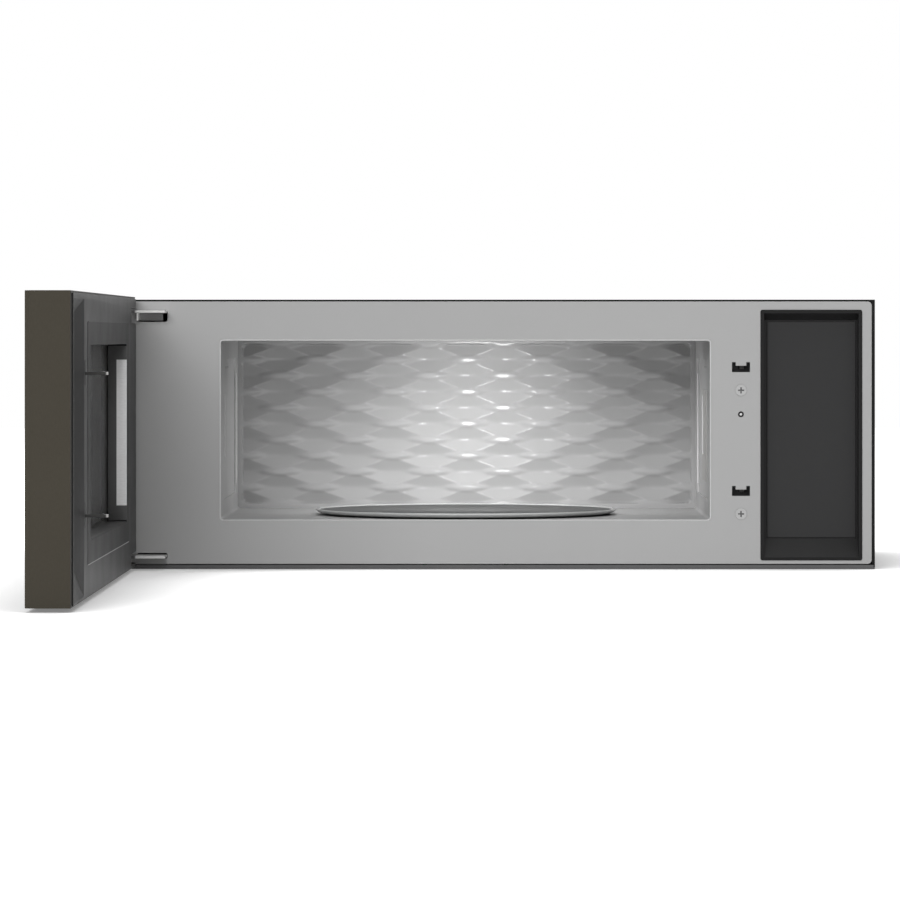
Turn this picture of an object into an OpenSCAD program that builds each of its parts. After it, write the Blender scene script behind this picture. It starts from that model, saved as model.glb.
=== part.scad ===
// Low-profile over-the-range microwave with its vent hood, door open at a right angle.
// Millimetres, +Z up. The origin is on the wall face, at the bottom of the body's middle.
// X runs to the right and Y runs into the wall, so the room side is at negative Y.

/* [Body] */
// Width of the body
body_w = 759; // [740:1:790]
// Height of the body
body_h = 263.6; // [258:0.2:275]
// Depth from the wall to the face of the front plate
body_d = 412; // [408:1:440]
// Thickness of the case sheet
case_t = 1.2; // [0.8:0.1:1.6]
// Width of the hem that closes the case round the front plate
case_hem = 3.2; // [2.4:0.1:4]
// Thickness of the front plate
plate_t = 1.5; // [1:0.1:2.5]
// Corner radius of the front plate
plate_r = 4; // [2:0.5:6]
// Height of the base pan's front lip
base_lip_h = 4; // [3:0.5:6]

/* [Oven cavity] */
// Distance between the body's left side and the cavity
cavity_left = 117.5; // [115:0.5:124]
// Distance between the cavity and the body's right side
cavity_right = 160.5; // [159:0.5:166]
// Height of the space between the cavity and the body's top
cavity_top = 39.1; // [37:0.1:46]
// Height of the cavity floor above the body's underside
cavity_z = 47.2; // [45:0.2:50]
// Depth of the cavity behind the front plate
cavity_d = 361; // [350:1:364]
// Thickness of the cavity sheet
cavity_t = 1; // [0.6:0.1:1.5]
// Corner radius of the cavity opening
cavity_r = 3; // [2:0.5:6]
// Depth of the pressed panel in each side wall
pressing_t = 2; // [1:0.5:3]
// Thickness of the quilted back panel
quilt_t = 4; // [3.5:0.5:6]
// Width of one diamond of the quilting
quilt_w = 78.5; // [60:0.5:90]
// Height of one diamond of the quilting
quilt_h = 33.6; // [28:0.2:40]
// Depth of one diamond of the quilting
quilt_dip = 2.4; // [1:0.1:3]

/* [Turntable] */
// Radius of the glass tray
tray_r = 152.5; // [145:0.5:156]
// Distance of the tray's middle behind the front plate
tray_y = 180; // [175:1:185]
// Thickness of the tray's floor
tray_t = 4.2; // [3:0.1:6]
// Radius of the well in the cavity floor
well_r = 146; // [143:0.5:148]
// Depth of the well in the cavity floor
well_h = 14; // [13:0.5:16]
// Radius of the roller ring
ring_r = 98; // [80:1:110]
// Radius of the turntable motor's shaft
shaft_r = 4; // [3:0.1:5]

/* [Control recess] */
// Distance between the recess and the body's right side
recess_side = 12.4; // [8:0.1:15]
// Width of the recess
recess_w = 99.7; // [90:0.1:102]
// Bottom edge of the recess
recess_z = 8.3; // [7.5:0.1:12]
// Distance between the recess and the body's top
recess_top = 9.9; // [9.3:0.1:24]
// Depth of the recess
recess_d = 16; // [10:0.5:22]
// Height of the sloping bottom of the recess
recess_ramp = 20.5; // [15:0.5:30]

/* [Door] */
// Thickness of the door, from the skin's flange to the outer glass
door_t = 37.8; // [36:0.2:42]
// Gap between the front plate and the door's skin
door_gap = 3; // [2.5:0.1:3.5]
// Height of the door's lower edge
door_z = 3.2; // [3:0.1:6]
// Height of the door above the body's top
door_rise = 2.4; // [0:0.1:4]
// Thickness of the door's steel skin
skin_t = 1; // [0.6:0.1:1.4]
// Thickness of the outer glass
glass_t = 3.5; // [3:0.1:4]
// How far the inner cover stands out of the skin
cover_rise = 1.5; // [0.5:0.1:2]
// Thickness of the inner cover
cover_t = 2.5; // [2:0.1:3]
// Distance between the door's hinge side and the window
window_left = 137.5; // [134:0.5:144]
// Distance between the window and the door's free end
window_right = 186.5; // [184:0.5:196]
// Lower edge of the window
window_z = 51.9; // [50:0.1:60]
// Distance between the window and the door's upper edge
window_top = 45.7; // [42.3:0.1:60]
// Depth of the window behind the choke panel
window_d = 18.2; // [14:0.2:20]
// Margin of the choke panel round the window, at the sides
choke_side = 28; // [24:0.5:30]
// Margin of the choke panel round the window, above and below
choke_edge = 20; // [15:0.5:22]

/* [Hinge and latch] */
// Distance of the hinge pins in from the body's left side
pin_x = 12; // [11:0.5:13]
// Distance of the hinge pins in front of the front plate
pin_y = 26.6; // [26:0.1:28]
// Radius of the hinge pins
pin_r = 3; // [2.5:0.1:3.5]
// Drop from the body's top to the upper hinge arm's top flange
arm_drop = 10.7; // [10.6:0.1:13.5]
// Height of the lower hinge arm's flange
arm_low_z = 14; // [13.5:0.1:15]
// Thickness of the hinge arms
arm_t = 2.4; // [1.6:0.1:3]
// Distance between the latch slots and the body's right side
latch_side = 131.1; // [129.5:0.1:132.5]
// Drop from the body's top to the upper latch hook's arm
latch_drop = 67.3; // [66.6:0.1:68.5]
// Height of the lower latch hook's arm
latch_low_z = 75.1; // [74:0.1:76]
// Reach of the latch hooks out of the door's inner cover
latch_reach = 19.8; // [16:0.1:22]

/* [Vent] */
// Width of the exhaust duct
duct_w = 254; // [240:1:260]
// Depth of the exhaust duct
duct_d = 82.6; // [78:0.2:84]
// Height of the exhaust collar
duct_h = 26; // [20:1:30]
// Radius of the vent blower's wheels
blower_r = 50; // [40:1:54]
// Width of one blower wheel
blower_w = 28; // [22:1:30]
// Width of one grease filter
filter_w = 180; // [150:1:190]
// Depth of one grease filter
filter_d = 220; // [180:1:240]
// Radius of the magnetron's cooling fan
fan_r = 48; // [38:1:50]

/* [Mounting] */
// Distance between the two cabinet bolts
bolt_span = 500; // [480:1:520]
// Radius of the cabinet bolts' holes
bolt_r = 3.2; // [2.5:0.1:4]
// Distance of the cabinet bolts from the wall
bolt_y = 205; // [190:1:220]
// Radius of the cord gland's bore
gland_r = 4.5; // [4:0.1:6]

/* [Hidden] */
$fn = 48;

// Clearances: between fixed pieces, round a running shaft, and between moving pieces
seat = 0.3;
run = 0.05;
swing = 1.2;

half_w = body_w / 2;
front_y = -body_d;
plate_back_y = front_y + plate_t;
plate_z0 = base_lip_h + 1;
plate_z1 = body_h - case_t - 0.6;
pan_t = 1.5;
pan_top = pan_t;

cavity_h = body_h - cavity_z - cavity_top;
cavity_x0 = -half_w + cavity_left;
cavity_x1 = half_w - cavity_right;
cavity_x = (cavity_x0 + cavity_x1) / 2;
cavity_z1 = cavity_z + cavity_h;
cavity_back_y = front_y + cavity_d;
cavity_out_x1 = cavity_x1 + cavity_t + pressing_t;
cavity_out_x0 = cavity_x0 - cavity_t - pressing_t;
press_y0 = front_y + 95;
press_y1 = cavity_back_y - 39;
press_z0 = cavity_z + 18;
press_z1 = cavity_z1 - 20;

recess_x = half_w - recess_side - recess_w;
recess_h = body_h - recess_z - recess_top;
plate_left = 7.3;
plate_right = 5.3;
plate_groove = 0.8;

tray_cy = front_y + tray_y;
well_z = cavity_z - well_h;
wheel_gap = 0.3;
tray_z = cavity_z - 0.8;
wheel_r = (tray_z - well_z - 2 * wheel_gap) / 2;
wheel_z = well_z + wheel_gap + wheel_r;
wheel_w = 6;
wheel_place_r = ring_r + 8;
axle_r = 1.6;

// The door is drawn closed and turned open about its hinge pins
hinge_x = -half_w + pin_x;
hinge_y = front_y - pin_y;
skin_y = front_y - door_gap;
door_out_y = skin_y - door_t;
door_z1 = body_h + door_rise;
glass_y = door_out_y + glass_t;
cover_y = skin_y + cover_rise;
cover_z0 = door_z + 1.5;
cover_z1 = door_z1 - 2;
edge_in = skin_t + seat;
window_x = -half_w + window_left;
window_x1 = half_w - window_right;
window_z1 = door_z1 - window_top;
choke_x0 = window_x - choke_side;
choke_x1 = window_x1 + choke_side;
choke_z0 = window_z - choke_edge;
choke_z1 = window_z1 + choke_edge;
choke_y = cover_y + 0.4;
window_y = choke_y - window_d;
screen_t = 0.8;
pane_t = 2;
frame_t = 1.5;

// The control zone at the door's free end is dished to match the recess behind it
dish_x0 = recess_x - 6.4;
dish_x1 = half_w - 13.5;
dish_z0 = cover_z0 + 2;
dish_z1 = cover_z1 - 4.7;
dish_d = 7;

arm_top_z = body_h - arm_drop;
arm_reach = 54;
arm_leg = 29;
arm_eye_r = 8;
arm_depth = 30;
notch_x = arm_reach + 2;
notch_deep = arm_eye_r + 0.8;
upper_notch = [arm_top_z - 12.4, arm_top_z + 1.8];
lower_notch = [arm_low_z - 7, arm_low_z + 4];

latch_x = half_w - latch_side;
latch_top_z = body_h - latch_drop;
hook_h = 2.6;
hook_w = 4;
hook_tip = 2.2;
hook_slot_low = 9.9;
hook_slot_high = 11.1;
screw_head = 0.9;
screw_z = [latch_top_z - 21.4, latch_low_z - 21.3];
locate_z = latch_low_z + 76.2;
slot_w = 17.6;
slot_h = 9.8;
slot_tab = 3.5;
slot_drop = 3.7;

blower_x = (-half_w + cavity_out_x0) / 2;
blower_y = -112;
blower_z = body_h / 2;
motor_w = 38;
blower_case_r = blower_r + 9;
fan_x = cavity_x1 + 96;
fan_y = -44;
fan_z = body_h - fan_r - 33.6;
filter_x = 65;
filter_y = -332;
duct_y1 = -10;
duct_y0 = duct_y1 - duct_d;
duct_top_z = body_h - case_t;
flap_t = 1;
flap_z = duct_top_z - duct_h + 6;
flap_y = duct_y1 - 6;

// The microwaves' way in, on the cavity's right wall
guide_w = 80;
guide_y0 = tray_cy - guide_w / 2;
guide_y1 = tray_cy + guide_w / 2;
guide_z0 = cavity_z + guide_w / 2;
guide_z1 = guide_z0 + guide_w;
guide_l = 40;

// Places of the parts beside the cavity
transformer_side = 44;
transformer_y = -140;
core_l = 92;
coil_h = 26;
capacitor_side = 40;
capacitor_front = 96;
capacitor_h = 82;
geared_motor_r = 25;
geared_motor_h = 18;
hook_side = 210;

// Supply board and control board, set in from the edges round them
board_front = 36;
board_l = 190;
board_z0 = 98;
board_z1 = body_h - 23.6;
panel_low = 34;
panel_top = 32.8;

// Plunger places and the hook's end, which the switches and their bracket follow
hook_end_y = cover_y + latch_reach;
switch_x = latch_x + 2;
plunger_z = [latch_top_z + 1, (latch_top_z + latch_low_z) / 2, latch_low_z + 1];
plunger_y = hook_end_y + 3;
bracket_x0 = cavity_out_x1 + 2;
bracket_x1 = recess_x - 1;
bracket_d = 34;

// A box between two corners
module block(x0, x1, y0, y1, z0, z1) {
    translate([x0, y0, z0])
        cube([x1 - x0, y1 - y0, z1 - z0]);
}

// A flat outline with round corners
module outline(x0, x1, z0, z1, r) {
    translate([x0 + r, z0])
        square([x1 - x0 - 2 * r, z1 - z0]);
    translate([x0, z0 + r])
        square([x1 - x0, z1 - z0 - 2 * r]);
    for (x = [x0 + r, x1 - r], z = [z0 + r, z1 - r])
        translate([x, z])
            circle(r);
}

// A slab that faces the room, from y0 to y1
module slab(x0, x1, y0, y1, z0, z1, r) {
    translate([0, y1, 0])
        rotate([90, 0, 0])
            linear_extrude(y1 - y0)
                outline(x0, x1, z0, z1, r);
}

// A round bar along Y, from y0 to y1
module bar_y(x, z, y0, y1, r) {
    translate([x, y1, z])
        rotate([90, 0, 0])
            cylinder(h = y1 - y0, r = r);
}

// A round bar along X, from x0 to x1
module bar_x(y, z, x0, x1, r) {
    translate([x0, y, z])
        rotate([0, 90, 0])
            cylinder(h = x1 - x0, r = r);
}

// Turns what is drawn on the closed door to the open door
module on_open_door() {
    translate([hinge_x, hinge_y, 0])
        rotate([0, 0, -90])
            translate([-hinge_x, -hinge_y, 0])
                children();
}

// Wrap-round case: top and both sides, with a hem round the front plate
module outer_case() {
    color("#1c1c1c")
    difference() {
        union() {
            block(-half_w, half_w, front_y, -case_t, body_h - case_t, body_h);
            for (side = [-1, 1])
                block(min(side * half_w, side * (half_w - case_t)),
                    max(side * half_w, side * (half_w - case_t)),
                    front_y, -case_t, pan_top, body_h);
            difference() {
                block(-half_w, half_w, front_y, front_y + 8, plate_z0, body_h);
                slab(-half_w + case_hem, half_w - case_hem, front_y - 1, front_y + 9,
                    0, plate_z1 + 0.1, plate_r);
                block(-half_w + case_hem, half_w - case_hem, front_y - 1, front_y + 9,
                    0, body_h / 2);
            }
        }
        block(-duct_w / 2, duct_w / 2, duct_y0, duct_y1, body_h - 2 * case_t, body_h + 1);
        for (side = [-1, 1])
            translate([side * bolt_span / 2, -bolt_y, body_h - 2 * case_t])
                cylinder(h = 3 * case_t, r = bolt_r);
        translate([half_w - 60, -60, body_h - 2 * case_t])
            cylinder(h = 3 * case_t, r = gland_r + 4);
    }
}

// Where the grease filters, the lamp lens and the pan's flanges go
module base_pan() {
    color("#4a4a4a")
    difference() {
        union() {
            block(-half_w, half_w, front_y, -case_t, 0, pan_t);
            block(-half_w + case_t, half_w - case_t, front_y, front_y + case_t, 0, base_lip_h);
            for (side = [-1, 1])
                block(side * (half_w - case_t - 1.2) - 0.9, side * (half_w - case_t - 1.2) + 0.9,
                    front_y + 12, -12, 0, 14);
        }
        for (side = [-1, 1])
            block(cavity_x + side * (filter_x + filter_w / 2) - filter_w / 2 + 6,
                cavity_x + side * (filter_x + filter_w / 2) + filter_w / 2 - 6,
                filter_y + 6, filter_y + filter_d - 6, -1, pan_t + 1);
        block(cavity_x - 40, cavity_x + 40, front_y + 16, front_y + 46, -1, pan_t + 1);
    }
}

// Flat steel back that hangs on the wall
module rear_panel() {
    color("#b8b8b6")
    difference() {
        block(-half_w, half_w, -case_t, 0, 0, body_h);
        for (side = [-1, 1])
            block(side * hook_side - 15, side * hook_side + 15, -2 * case_t, 1, 14, 20);
    }
}

// Latch slot: the middle of its upper edge hangs down between two ears
module latch_slot(hook_z) {
    slot_z = hook_z - slot_drop;
    difference() {
        block(latch_x - slot_w / 2, latch_x + slot_w / 2, front_y - 1, plate_back_y + 1,
            slot_z, slot_z + slot_h);
        block(latch_x - slot_w / 2 + 3.6, latch_x + slot_w / 2 - 3.6, front_y - 2, plate_back_y + 2,
            slot_z + slot_h - slot_tab, slot_z + slot_h + 1);
    }
}

// Pale steel plate with the cavity opening, the recess and the slots for hinge and latch
module front_plate() {
    color("#a6a6a6")
    difference() {
        slab(-half_w + case_hem, half_w - case_hem, front_y, plate_back_y,
            plate_z0, plate_z1, plate_r);
        slab(cavity_x0, cavity_x1, front_y - 1, plate_back_y + 1, cavity_z, cavity_z1, cavity_r);
        block(recess_x + 2, recess_x + recess_w - 2, front_y - 1, plate_back_y + 1,
            recess_z + 2, recess_z + recess_h - 2);
        for (notch = [[arm_top_z - 11.1, arm_top_z + 0.5], [arm_low_z - 4.2, arm_low_z + 1.7]])
            slab(hinge_x + arm_reach - arm_leg - 0.6, hinge_x + arm_reach + 0.6, front_y - 1,
                plate_back_y + 1, notch[0], notch[1], 2.5);
        for (hook_z = [latch_top_z, latch_low_z])
            latch_slot(hook_z);
        for (z = screw_z)
            bar_y(latch_x, z, front_y - 1, plate_back_y + 1, 2.1);
        bar_y(latch_x, locate_z, front_y - 1, plate_back_y + 1, 2.9);
    }
}

// Welded cavity box, open at the front and the back, with a round well in its floor
module oven_cavity() {
    t = cavity_t;
    color("#b4b4b4")
    difference() {
        union() {
            slab(cavity_x0 - t, cavity_x1 + t, plate_back_y, cavity_back_y,
                cavity_z - t, cavity_z1 + t, cavity_r + t);
            block(cavity_out_x0, cavity_out_x1, press_y0 - t, press_y1 + t,
                press_z0 - t, press_z1 + t);
            translate([cavity_x, tray_cy, well_z - t])
                cylinder(h = well_h + t, r = well_r + t, $fn = 96);
        }
        slab(cavity_x0, cavity_x1, plate_back_y - 1, cavity_back_y + 1,
            cavity_z, cavity_z1, cavity_r);
        block(cavity_out_x0 + t, cavity_out_x1 - t, press_y0, press_y1, press_z0, press_z1);
        translate([cavity_x, tray_cy, well_z])
            cylinder(h = well_h + 10, r = well_r, $fn = 96);
        translate([cavity_x, tray_cy, well_z - t - 1])
            cylinder(h = t + 2, r = shaft_r + 2);
        block(cavity_x1, cavity_out_x1 + 1, guide_y0 + 2, guide_y1 - 2, guide_z0 + 2, guide_z1 - 2);
        for (i = [0 : 4])
            block(cavity_out_x0 - 1, cavity_out_x1 + 1, press_y0 + 40 + 16 * i,
                press_y0 + 50 + 16 * i, press_z1 - 9, press_z1 - 7);
    }
}

// One dimple of the quilting, a shallow pyramid sunk into the panel
module dimple(x, z) {
    w = quilt_w / 2 - 1.6;
    h = quilt_h / 2 - 0.7;
    polyhedron(
        points = [[x - w, cavity_back_y - 0.01, z], [x, cavity_back_y - 0.01, z - h],
            [x + w, cavity_back_y - 0.01, z], [x, cavity_back_y - 0.01, z + h],
            [x, cavity_back_y + quilt_dip, z]],
        faces = [[0, 3, 2, 1], [0, 1, 4], [1, 2, 4], [2, 3, 4], [3, 0, 4]]);
}

// Back wall of the cavity, quilted with rows of diamonds set half a diamond apart
module cavity_back_panel() {
    mid_z = cavity_z + cavity_h / 2;
    rows = floor((cavity_h - 10) / quilt_h);
    color("#bcbcbc")
    difference() {
        slab(cavity_x0 - cavity_t, cavity_x1 + cavity_t, cavity_back_y, cavity_back_y + quilt_t,
            cavity_z - cavity_t, cavity_z1 + cavity_t, cavity_r);
        intersection() {
            block(cavity_x0 + 5, cavity_x1 - 5, cavity_back_y - 1, cavity_back_y + quilt_t,
                cavity_z + 5, cavity_z1 - 5);
            for (row = [-rows : rows], column = [-4 : 4])
                dimple(cavity_x + (column + (row % 2 == 0 ? 0.5 : 0)) * quilt_w,
                    mid_z + row * quilt_h / 2);
        }
    }
}

// Dark moulded tray let into the front plate, with a long sloping bottom
module control_recess() {
    x1 = recess_x + recess_w;
    z1 = recess_z + recess_h;
    lip = 0.6;
    color("#2b2b2b")
    difference() {
        union() {
            slab(recess_x, x1, front_y - lip, front_y, recess_z, z1, 2);
            block(recess_x + 2 + seat, x1 - 2 - seat, front_y, front_y + recess_d + 2,
                recess_z + 2 + seat, z1 - 2 - seat);
        }
        rotate([90, 0, 90])
            translate([0, 0, recess_x + 3.5])
                linear_extrude(recess_w - 7)
                    polygon([[front_y - 2, recess_z + 3], [front_y + 0.5, recess_z + 3],
                        [front_y + recess_d, recess_z + recess_ramp],
                        [front_y + recess_d, z1 - 10], [front_y + 0.5, z1 - 3.5],
                        [front_y - 2, z1 - 3.5]]);
        block(recess_x + plate_left - plate_groove, x1 - plate_right + plate_groove,
            front_y + recess_d - 1, front_y + recess_d + 1,
            recess_z + recess_ramp + 0.6, z1 - 10.6);
    }
}

// Flat plate let into the floor of the recess, with a narrow groove round it
module recess_plate() {
    x1 = recess_x + recess_w;
    z1 = recess_z + recess_h;
    color("#383838")
    block(recess_x + plate_left, x1 - plate_right, front_y + recess_d - 0.4,
        front_y + recess_d + 1, recess_z + recess_ramp + 0.6 + plate_groove, z1 - 10.6 - plate_groove);
}

// Plan of a hinge arm: an eye round the pin, a bar and a leg back through the front plate
module arm_plan() {
    difference() {
        union() {
            circle(arm_eye_r);
            translate([0, -6])
                square([arm_reach, 14]);
            translate([arm_reach - arm_leg, -6])
                square([arm_leg, pin_y + arm_depth + 6]);
        }
        circle(pin_r + run);
    }
}

// Upper hinge arm: a flange with webs turned down along its left edge and behind the front
// plate, and its fixing foot
module upper_hinge_arm() {
    leg_x = hinge_x + arm_reach - arm_leg;
    color("#c9c9c9")
    union() {
        translate([hinge_x, hinge_y, arm_top_z - arm_t])
            linear_extrude(arm_t)
                arm_plan();
        block(leg_x, leg_x + 2, hinge_y + 9, plate_back_y + arm_depth, arm_top_z - 10, arm_top_z);
        block(leg_x + 1, leg_x + arm_leg - 4, plate_back_y + 1, plate_back_y + 3,
            arm_top_z - 10, arm_top_z - 1);
        block(leg_x, leg_x + arm_leg, plate_back_y + 6, plate_back_y + arm_depth,
            arm_top_z - arm_t, plate_z1 - 0.2);
    }
}

// Lower hinge arm, which stands on the base pan
module lower_hinge_arm() {
    leg_x = hinge_x + arm_reach - arm_leg;
    color("#c9c9c9")
    union() {
        translate([hinge_x, hinge_y, arm_low_z - arm_t])
            linear_extrude(arm_t)
                arm_plan();
        block(leg_x, leg_x + arm_leg, plate_back_y + 6, plate_back_y + arm_depth - 2,
            pan_top, arm_low_z);
    }
}

// Washable mesh filter in its frame, resting on the rim of its opening in the base pan
module grease_filter(side) {
    x0 = cavity_x + side * (filter_x + filter_w / 2) - filter_w / 2;
    color("#9a9a98")
    difference() {
        block(x0, x0 + filter_w, filter_y, filter_y + filter_d, pan_top, pan_top + 5);
        for (i = [0 : 5])
            block(x0 + 10 + i * (filter_w - 16) / 6, x0 + 4 + (i + 1) * (filter_w - 16) / 6,
                filter_y + 10, filter_y + filter_d - 10, pan_top - 1, pan_top + 1.2);
    }
}

module left_grease_filter() {
    grease_filter(-1);
}

module right_grease_filter() {
    grease_filter(1);
}

// Clear lens over the lamps that light the cooktop
module cooktop_lens() {
    color("#e8e8e0")
    union() {
        block(cavity_x - 46, cavity_x + 46, front_y + 10, front_y + 52, pan_top, pan_top + 2);
        block(cavity_x - 39.6, cavity_x + 39.6, front_y + 16.4, front_y + 45.6, 0.3, pan_top);
    }
}

// Lamp board that stands on four posts over the lens
module cooktop_light_board() {
    color("#2f6b3a")
    union() {
        block(cavity_x - 42, cavity_x + 42, front_y + 14, front_y + 48, pan_top + 10, pan_top + 11.6);
        for (i = [-1, 0, 1])
            block(cavity_x + 24 * i - 3, cavity_x + 24 * i + 3, front_y + 28, front_y + 34,
                pan_top + 8, pan_top + 10);
        for (x = [-40, 40], y = [16, 46])
            translate([cavity_x + x, front_y + y, pan_top + 2])
                cylinder(h = 8, r = 2);
    }
}

// Square tube that carries the microwaves from the magnetron to the cavity wall
module waveguide() {
    x0 = cavity_out_x1;
    x1 = x0 + guide_l;
    color("#a9a9a6")
    difference() {
        union() {
            block(x0, x1, guide_y0, guide_y1, guide_z0, guide_z1);
            block(x0, x0 + 1.2, guide_y0 - 8, guide_y1 + 8, guide_z0 - 8, guide_z1 + 8);
        }
        block(x0 - 1, x1 - 1.2, guide_y0 + 1.2, guide_y1 - 1.2, guide_z0 + 1.2, guide_z1 - 1.2);
        bar_x((guide_y0 + guide_y1) / 2, (guide_z0 + guide_z1) / 2, x1 - 2, x1 + 1, 14);
    }
}

// Mica sheet that covers the waveguide's mouth inside the cavity
module waveguide_cover() {
    color("#c9c0a8")
    block(cavity_out_x1 - cavity_t - 0.8, cavity_out_x1 - cavity_t, guide_y0 - 6, guide_y1 + 6,
        guide_z0 - 6, guide_z1 + 6);
}

// Magnetron: a finned body in its yoke, with the antenna in the waveguide
module magnetron() {
    x0 = cavity_out_x1 + guide_l;
    y = (guide_y0 + guide_y1) / 2;
    z = (guide_z0 + guide_z1) / 2;
    color("#8d8d90")
    union() {
        bar_x(y, z, x0 - 24, x0, 9);
        block(x0, x0 + 3, y - 40, y + 40, z - 38, z + 38);
        block(x0 + 60, x0 + 63, y - 40, y + 40, z - 38, z + 38);
        block(x0 + 3, x0 + 60, y - 40, y + 40, z + 35, z + 38);
        bar_x(y, z, x0 + 3, x0 + 60, 24);
        for (i = [0 : 8])
            block(x0 + 8 + 5.6 * i, x0 + 9.2 + 5.6 * i, y - 36, y + 36, z - 33, z + 33);
        block(x0 + 63, x0 + 80, y - 16, y + 16, z - 14, z + 14);
    }
}

// Laminated core with its two windings, standing on the base pan
module high_voltage_transformer() {
    x0 = cavity_x1 + transformer_side;
    y0 = transformer_y;
    core_z = pan_top + 2;
    color("#7a6a52")
    union() {
        block(x0, x0 + core_l, y0 + 12, y0 + 68, core_z, core_z + 2 * coil_h + 24);
        block(x0 - 4, x0 + core_l + 4, y0 + 6, y0 + 74, pan_top, core_z);
        for (z = [core_z + 8, core_z + coil_h + 14])
            block(x0 + 16, x0 + core_l - 16, y0, y0 + 80, z, z + coil_h);
    }
}

// Oval can with two blade terminals, standing on the base pan
module high_voltage_capacitor() {
    x = half_w - capacitor_side;
    y = front_y + capacitor_front;
    top = pan_top + capacitor_h;
    color("#c2c2c0")
    union() {
        for (dy = [-14, 14])
            translate([x, y + dy, pan_top])
                cylinder(h = capacitor_h, r = 18);
        block(x - 18, x + 18, y - 14, y + 14, pan_top, top);
        for (dy = [-8, 8])
            block(x - 3, x + 3, y + dy - 0.4, y + dy + 0.4, top, top + 10);
    }
}

// Fan motor on the rear panel, with the frame that carries it and shrouds the fan
module cooling_fan_motor() {
    frame = fan_r + 8;
    color("#3b3b3d")
    difference() {
        union() {
            bar_y(fan_x, fan_z, fan_y + 10, -case_t, 20);
            block(fan_x - frame, fan_x + frame, fan_y + 16, fan_y + 19, fan_z - frame, fan_z + frame);
            for (dx = [-1, 1], dz = [-1, 1])
                bar_y(fan_x + dx * (frame - 6), fan_z + dz * (frame - 6), fan_y + 19, -case_t, 4);
        }
        for (dx = [-1, 1], dz = [-1, 1])
            block(fan_x + dx * 30 - 8, fan_x + dx * 30 + 8, fan_y + 15, fan_y + 20,
                fan_z + dz * 30 - 8, fan_z + dz * 30 + 8);
        bar_y(fan_x, fan_z, fan_y + 9, fan_y + 30, 2.5 + run);
    }
}

// Five-bladed fan on its shaft
module cooling_fan_blade() {
    color("#d8d8d4")
    union() {
        bar_y(fan_x, fan_z, fan_y - 12, fan_y + 8, 11);
        bar_y(fan_x, fan_z, fan_y + 8, fan_y + 28, 2.5);
        for (i = [0 : 4])
            translate([fan_x, fan_y - 2, fan_z])
                rotate([0, 72 * i, 0])
                    rotate([0, 0, 28])
                        translate([-13, -0.8, 8])
                            cube([26, 1.6, fan_r - 16]);
    }
}

// Casing of the vent blower: open at both ends to take in air, and at the back to let it out
module blower_housing() {
    w = motor_w + 2 * blower_w + 10;
    r = blower_case_r;
    color("#9c9c9a")
    difference() {
        union() {
            bar_x(blower_y, blower_z, blower_x - w / 2, blower_x + w / 2, r + 1.5);
            block(blower_x - w / 2, blower_x + w / 2, blower_y, -14, blower_z, blower_z + r + 1.5);
            for (side = [-1, 1])
                block(blower_x + side * (w / 2 - 1) - 1, blower_x + side * (w / 2 - 1) + 1,
                    blower_y - 40, blower_y + 40, pan_top, blower_z);
        }
        bar_x(blower_y, blower_z, blower_x - w / 2 + 1.5, blower_x + w / 2 - 1.5, r);
        block(blower_x - w / 2 + 1.5, blower_x + w / 2 - 1.5, blower_y, -13,
            blower_z + 1.5, blower_z + r);
        bar_x(blower_y, blower_z, blower_x - w, blower_x + w, blower_r - 8);
    }
}

// Vent motor between the two wheels, on a foot fixed to the casing's floor
module blower_motor() {
    color("#55565a")
    difference() {
        union() {
            bar_x(blower_y, blower_z, blower_x - motor_w / 2, blower_x + motor_w / 2, 32);
            intersection() {
                block(blower_x - 12, blower_x + 12, blower_y - 16, blower_y + 16,
                    blower_z - blower_case_r, blower_z);
                bar_x(blower_y, blower_z, blower_x - 12, blower_x + 12, blower_case_r - run);
            }
        }
        bar_x(blower_y, blower_z, blower_x - motor_w, blower_x + motor_w, 4 + run);
    }
}

// The two squirrel-cage wheels on the motor's through shaft
module blower_wheels() {
    color("#4a4a4c")
    union() {
        bar_x(blower_y, blower_z, blower_x - motor_w / 2 - blower_w, blower_x + motor_w / 2 + blower_w, 4);
        for (side = [-1, 1]) {
            in = side * (motor_w / 2 + 2);
            out = side * (motor_w / 2 + blower_w);
            bar_x(blower_y, blower_z, blower_x + min(in, in + side * 2),
                blower_x + max(in, in + side * 2), blower_r);
            difference() {
                bar_x(blower_y, blower_z, blower_x + min(out, out - side * 3),
                    blower_x + max(out, out - side * 3), blower_r);
                bar_x(blower_y, blower_z, blower_x - 90, blower_x + 90, blower_r - 8);
            }
            for (i = [0 : 19])
                translate([blower_x + min(in, out), blower_y, blower_z])
                    rotate([18 * i, 0, 0])
                        translate([0, -0.8, blower_r - 8])
                            cube([blower_w - 2, 1.6, 7.4]);
        }
    }
}

// Collar under the exhaust opening in the case, with bushes for the damper
module exhaust_collar() {
    t = 1.5;
    color("#a8a8a6")
    difference() {
        block(-duct_w / 2 - t, duct_w / 2 + t, duct_y0 - t, duct_y1 + t, duct_top_z - duct_h, duct_top_z);
        block(-duct_w / 2, duct_w / 2, duct_y0, duct_y1, duct_top_z - duct_h - 1, duct_top_z + 1);
        bar_x(flap_y, flap_z, -duct_w / 2 - 2 * t, duct_w / 2 + 2 * t, 1.5 + run);
    }
}

// Light flap that blown air lifts and its own weight shuts
module damper_flap() {
    color("#b5b5b2")
    union() {
        bar_x(flap_y, flap_z, -duct_w / 2 - 1.3, duct_w / 2 + 1.3, 1.5);
        block(-duct_w / 2 + swing, duct_w / 2 - swing, duct_y0 + swing, flap_y,
            flap_z - flap_t / 2, flap_z + flap_t / 2);
    }
}

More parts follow.
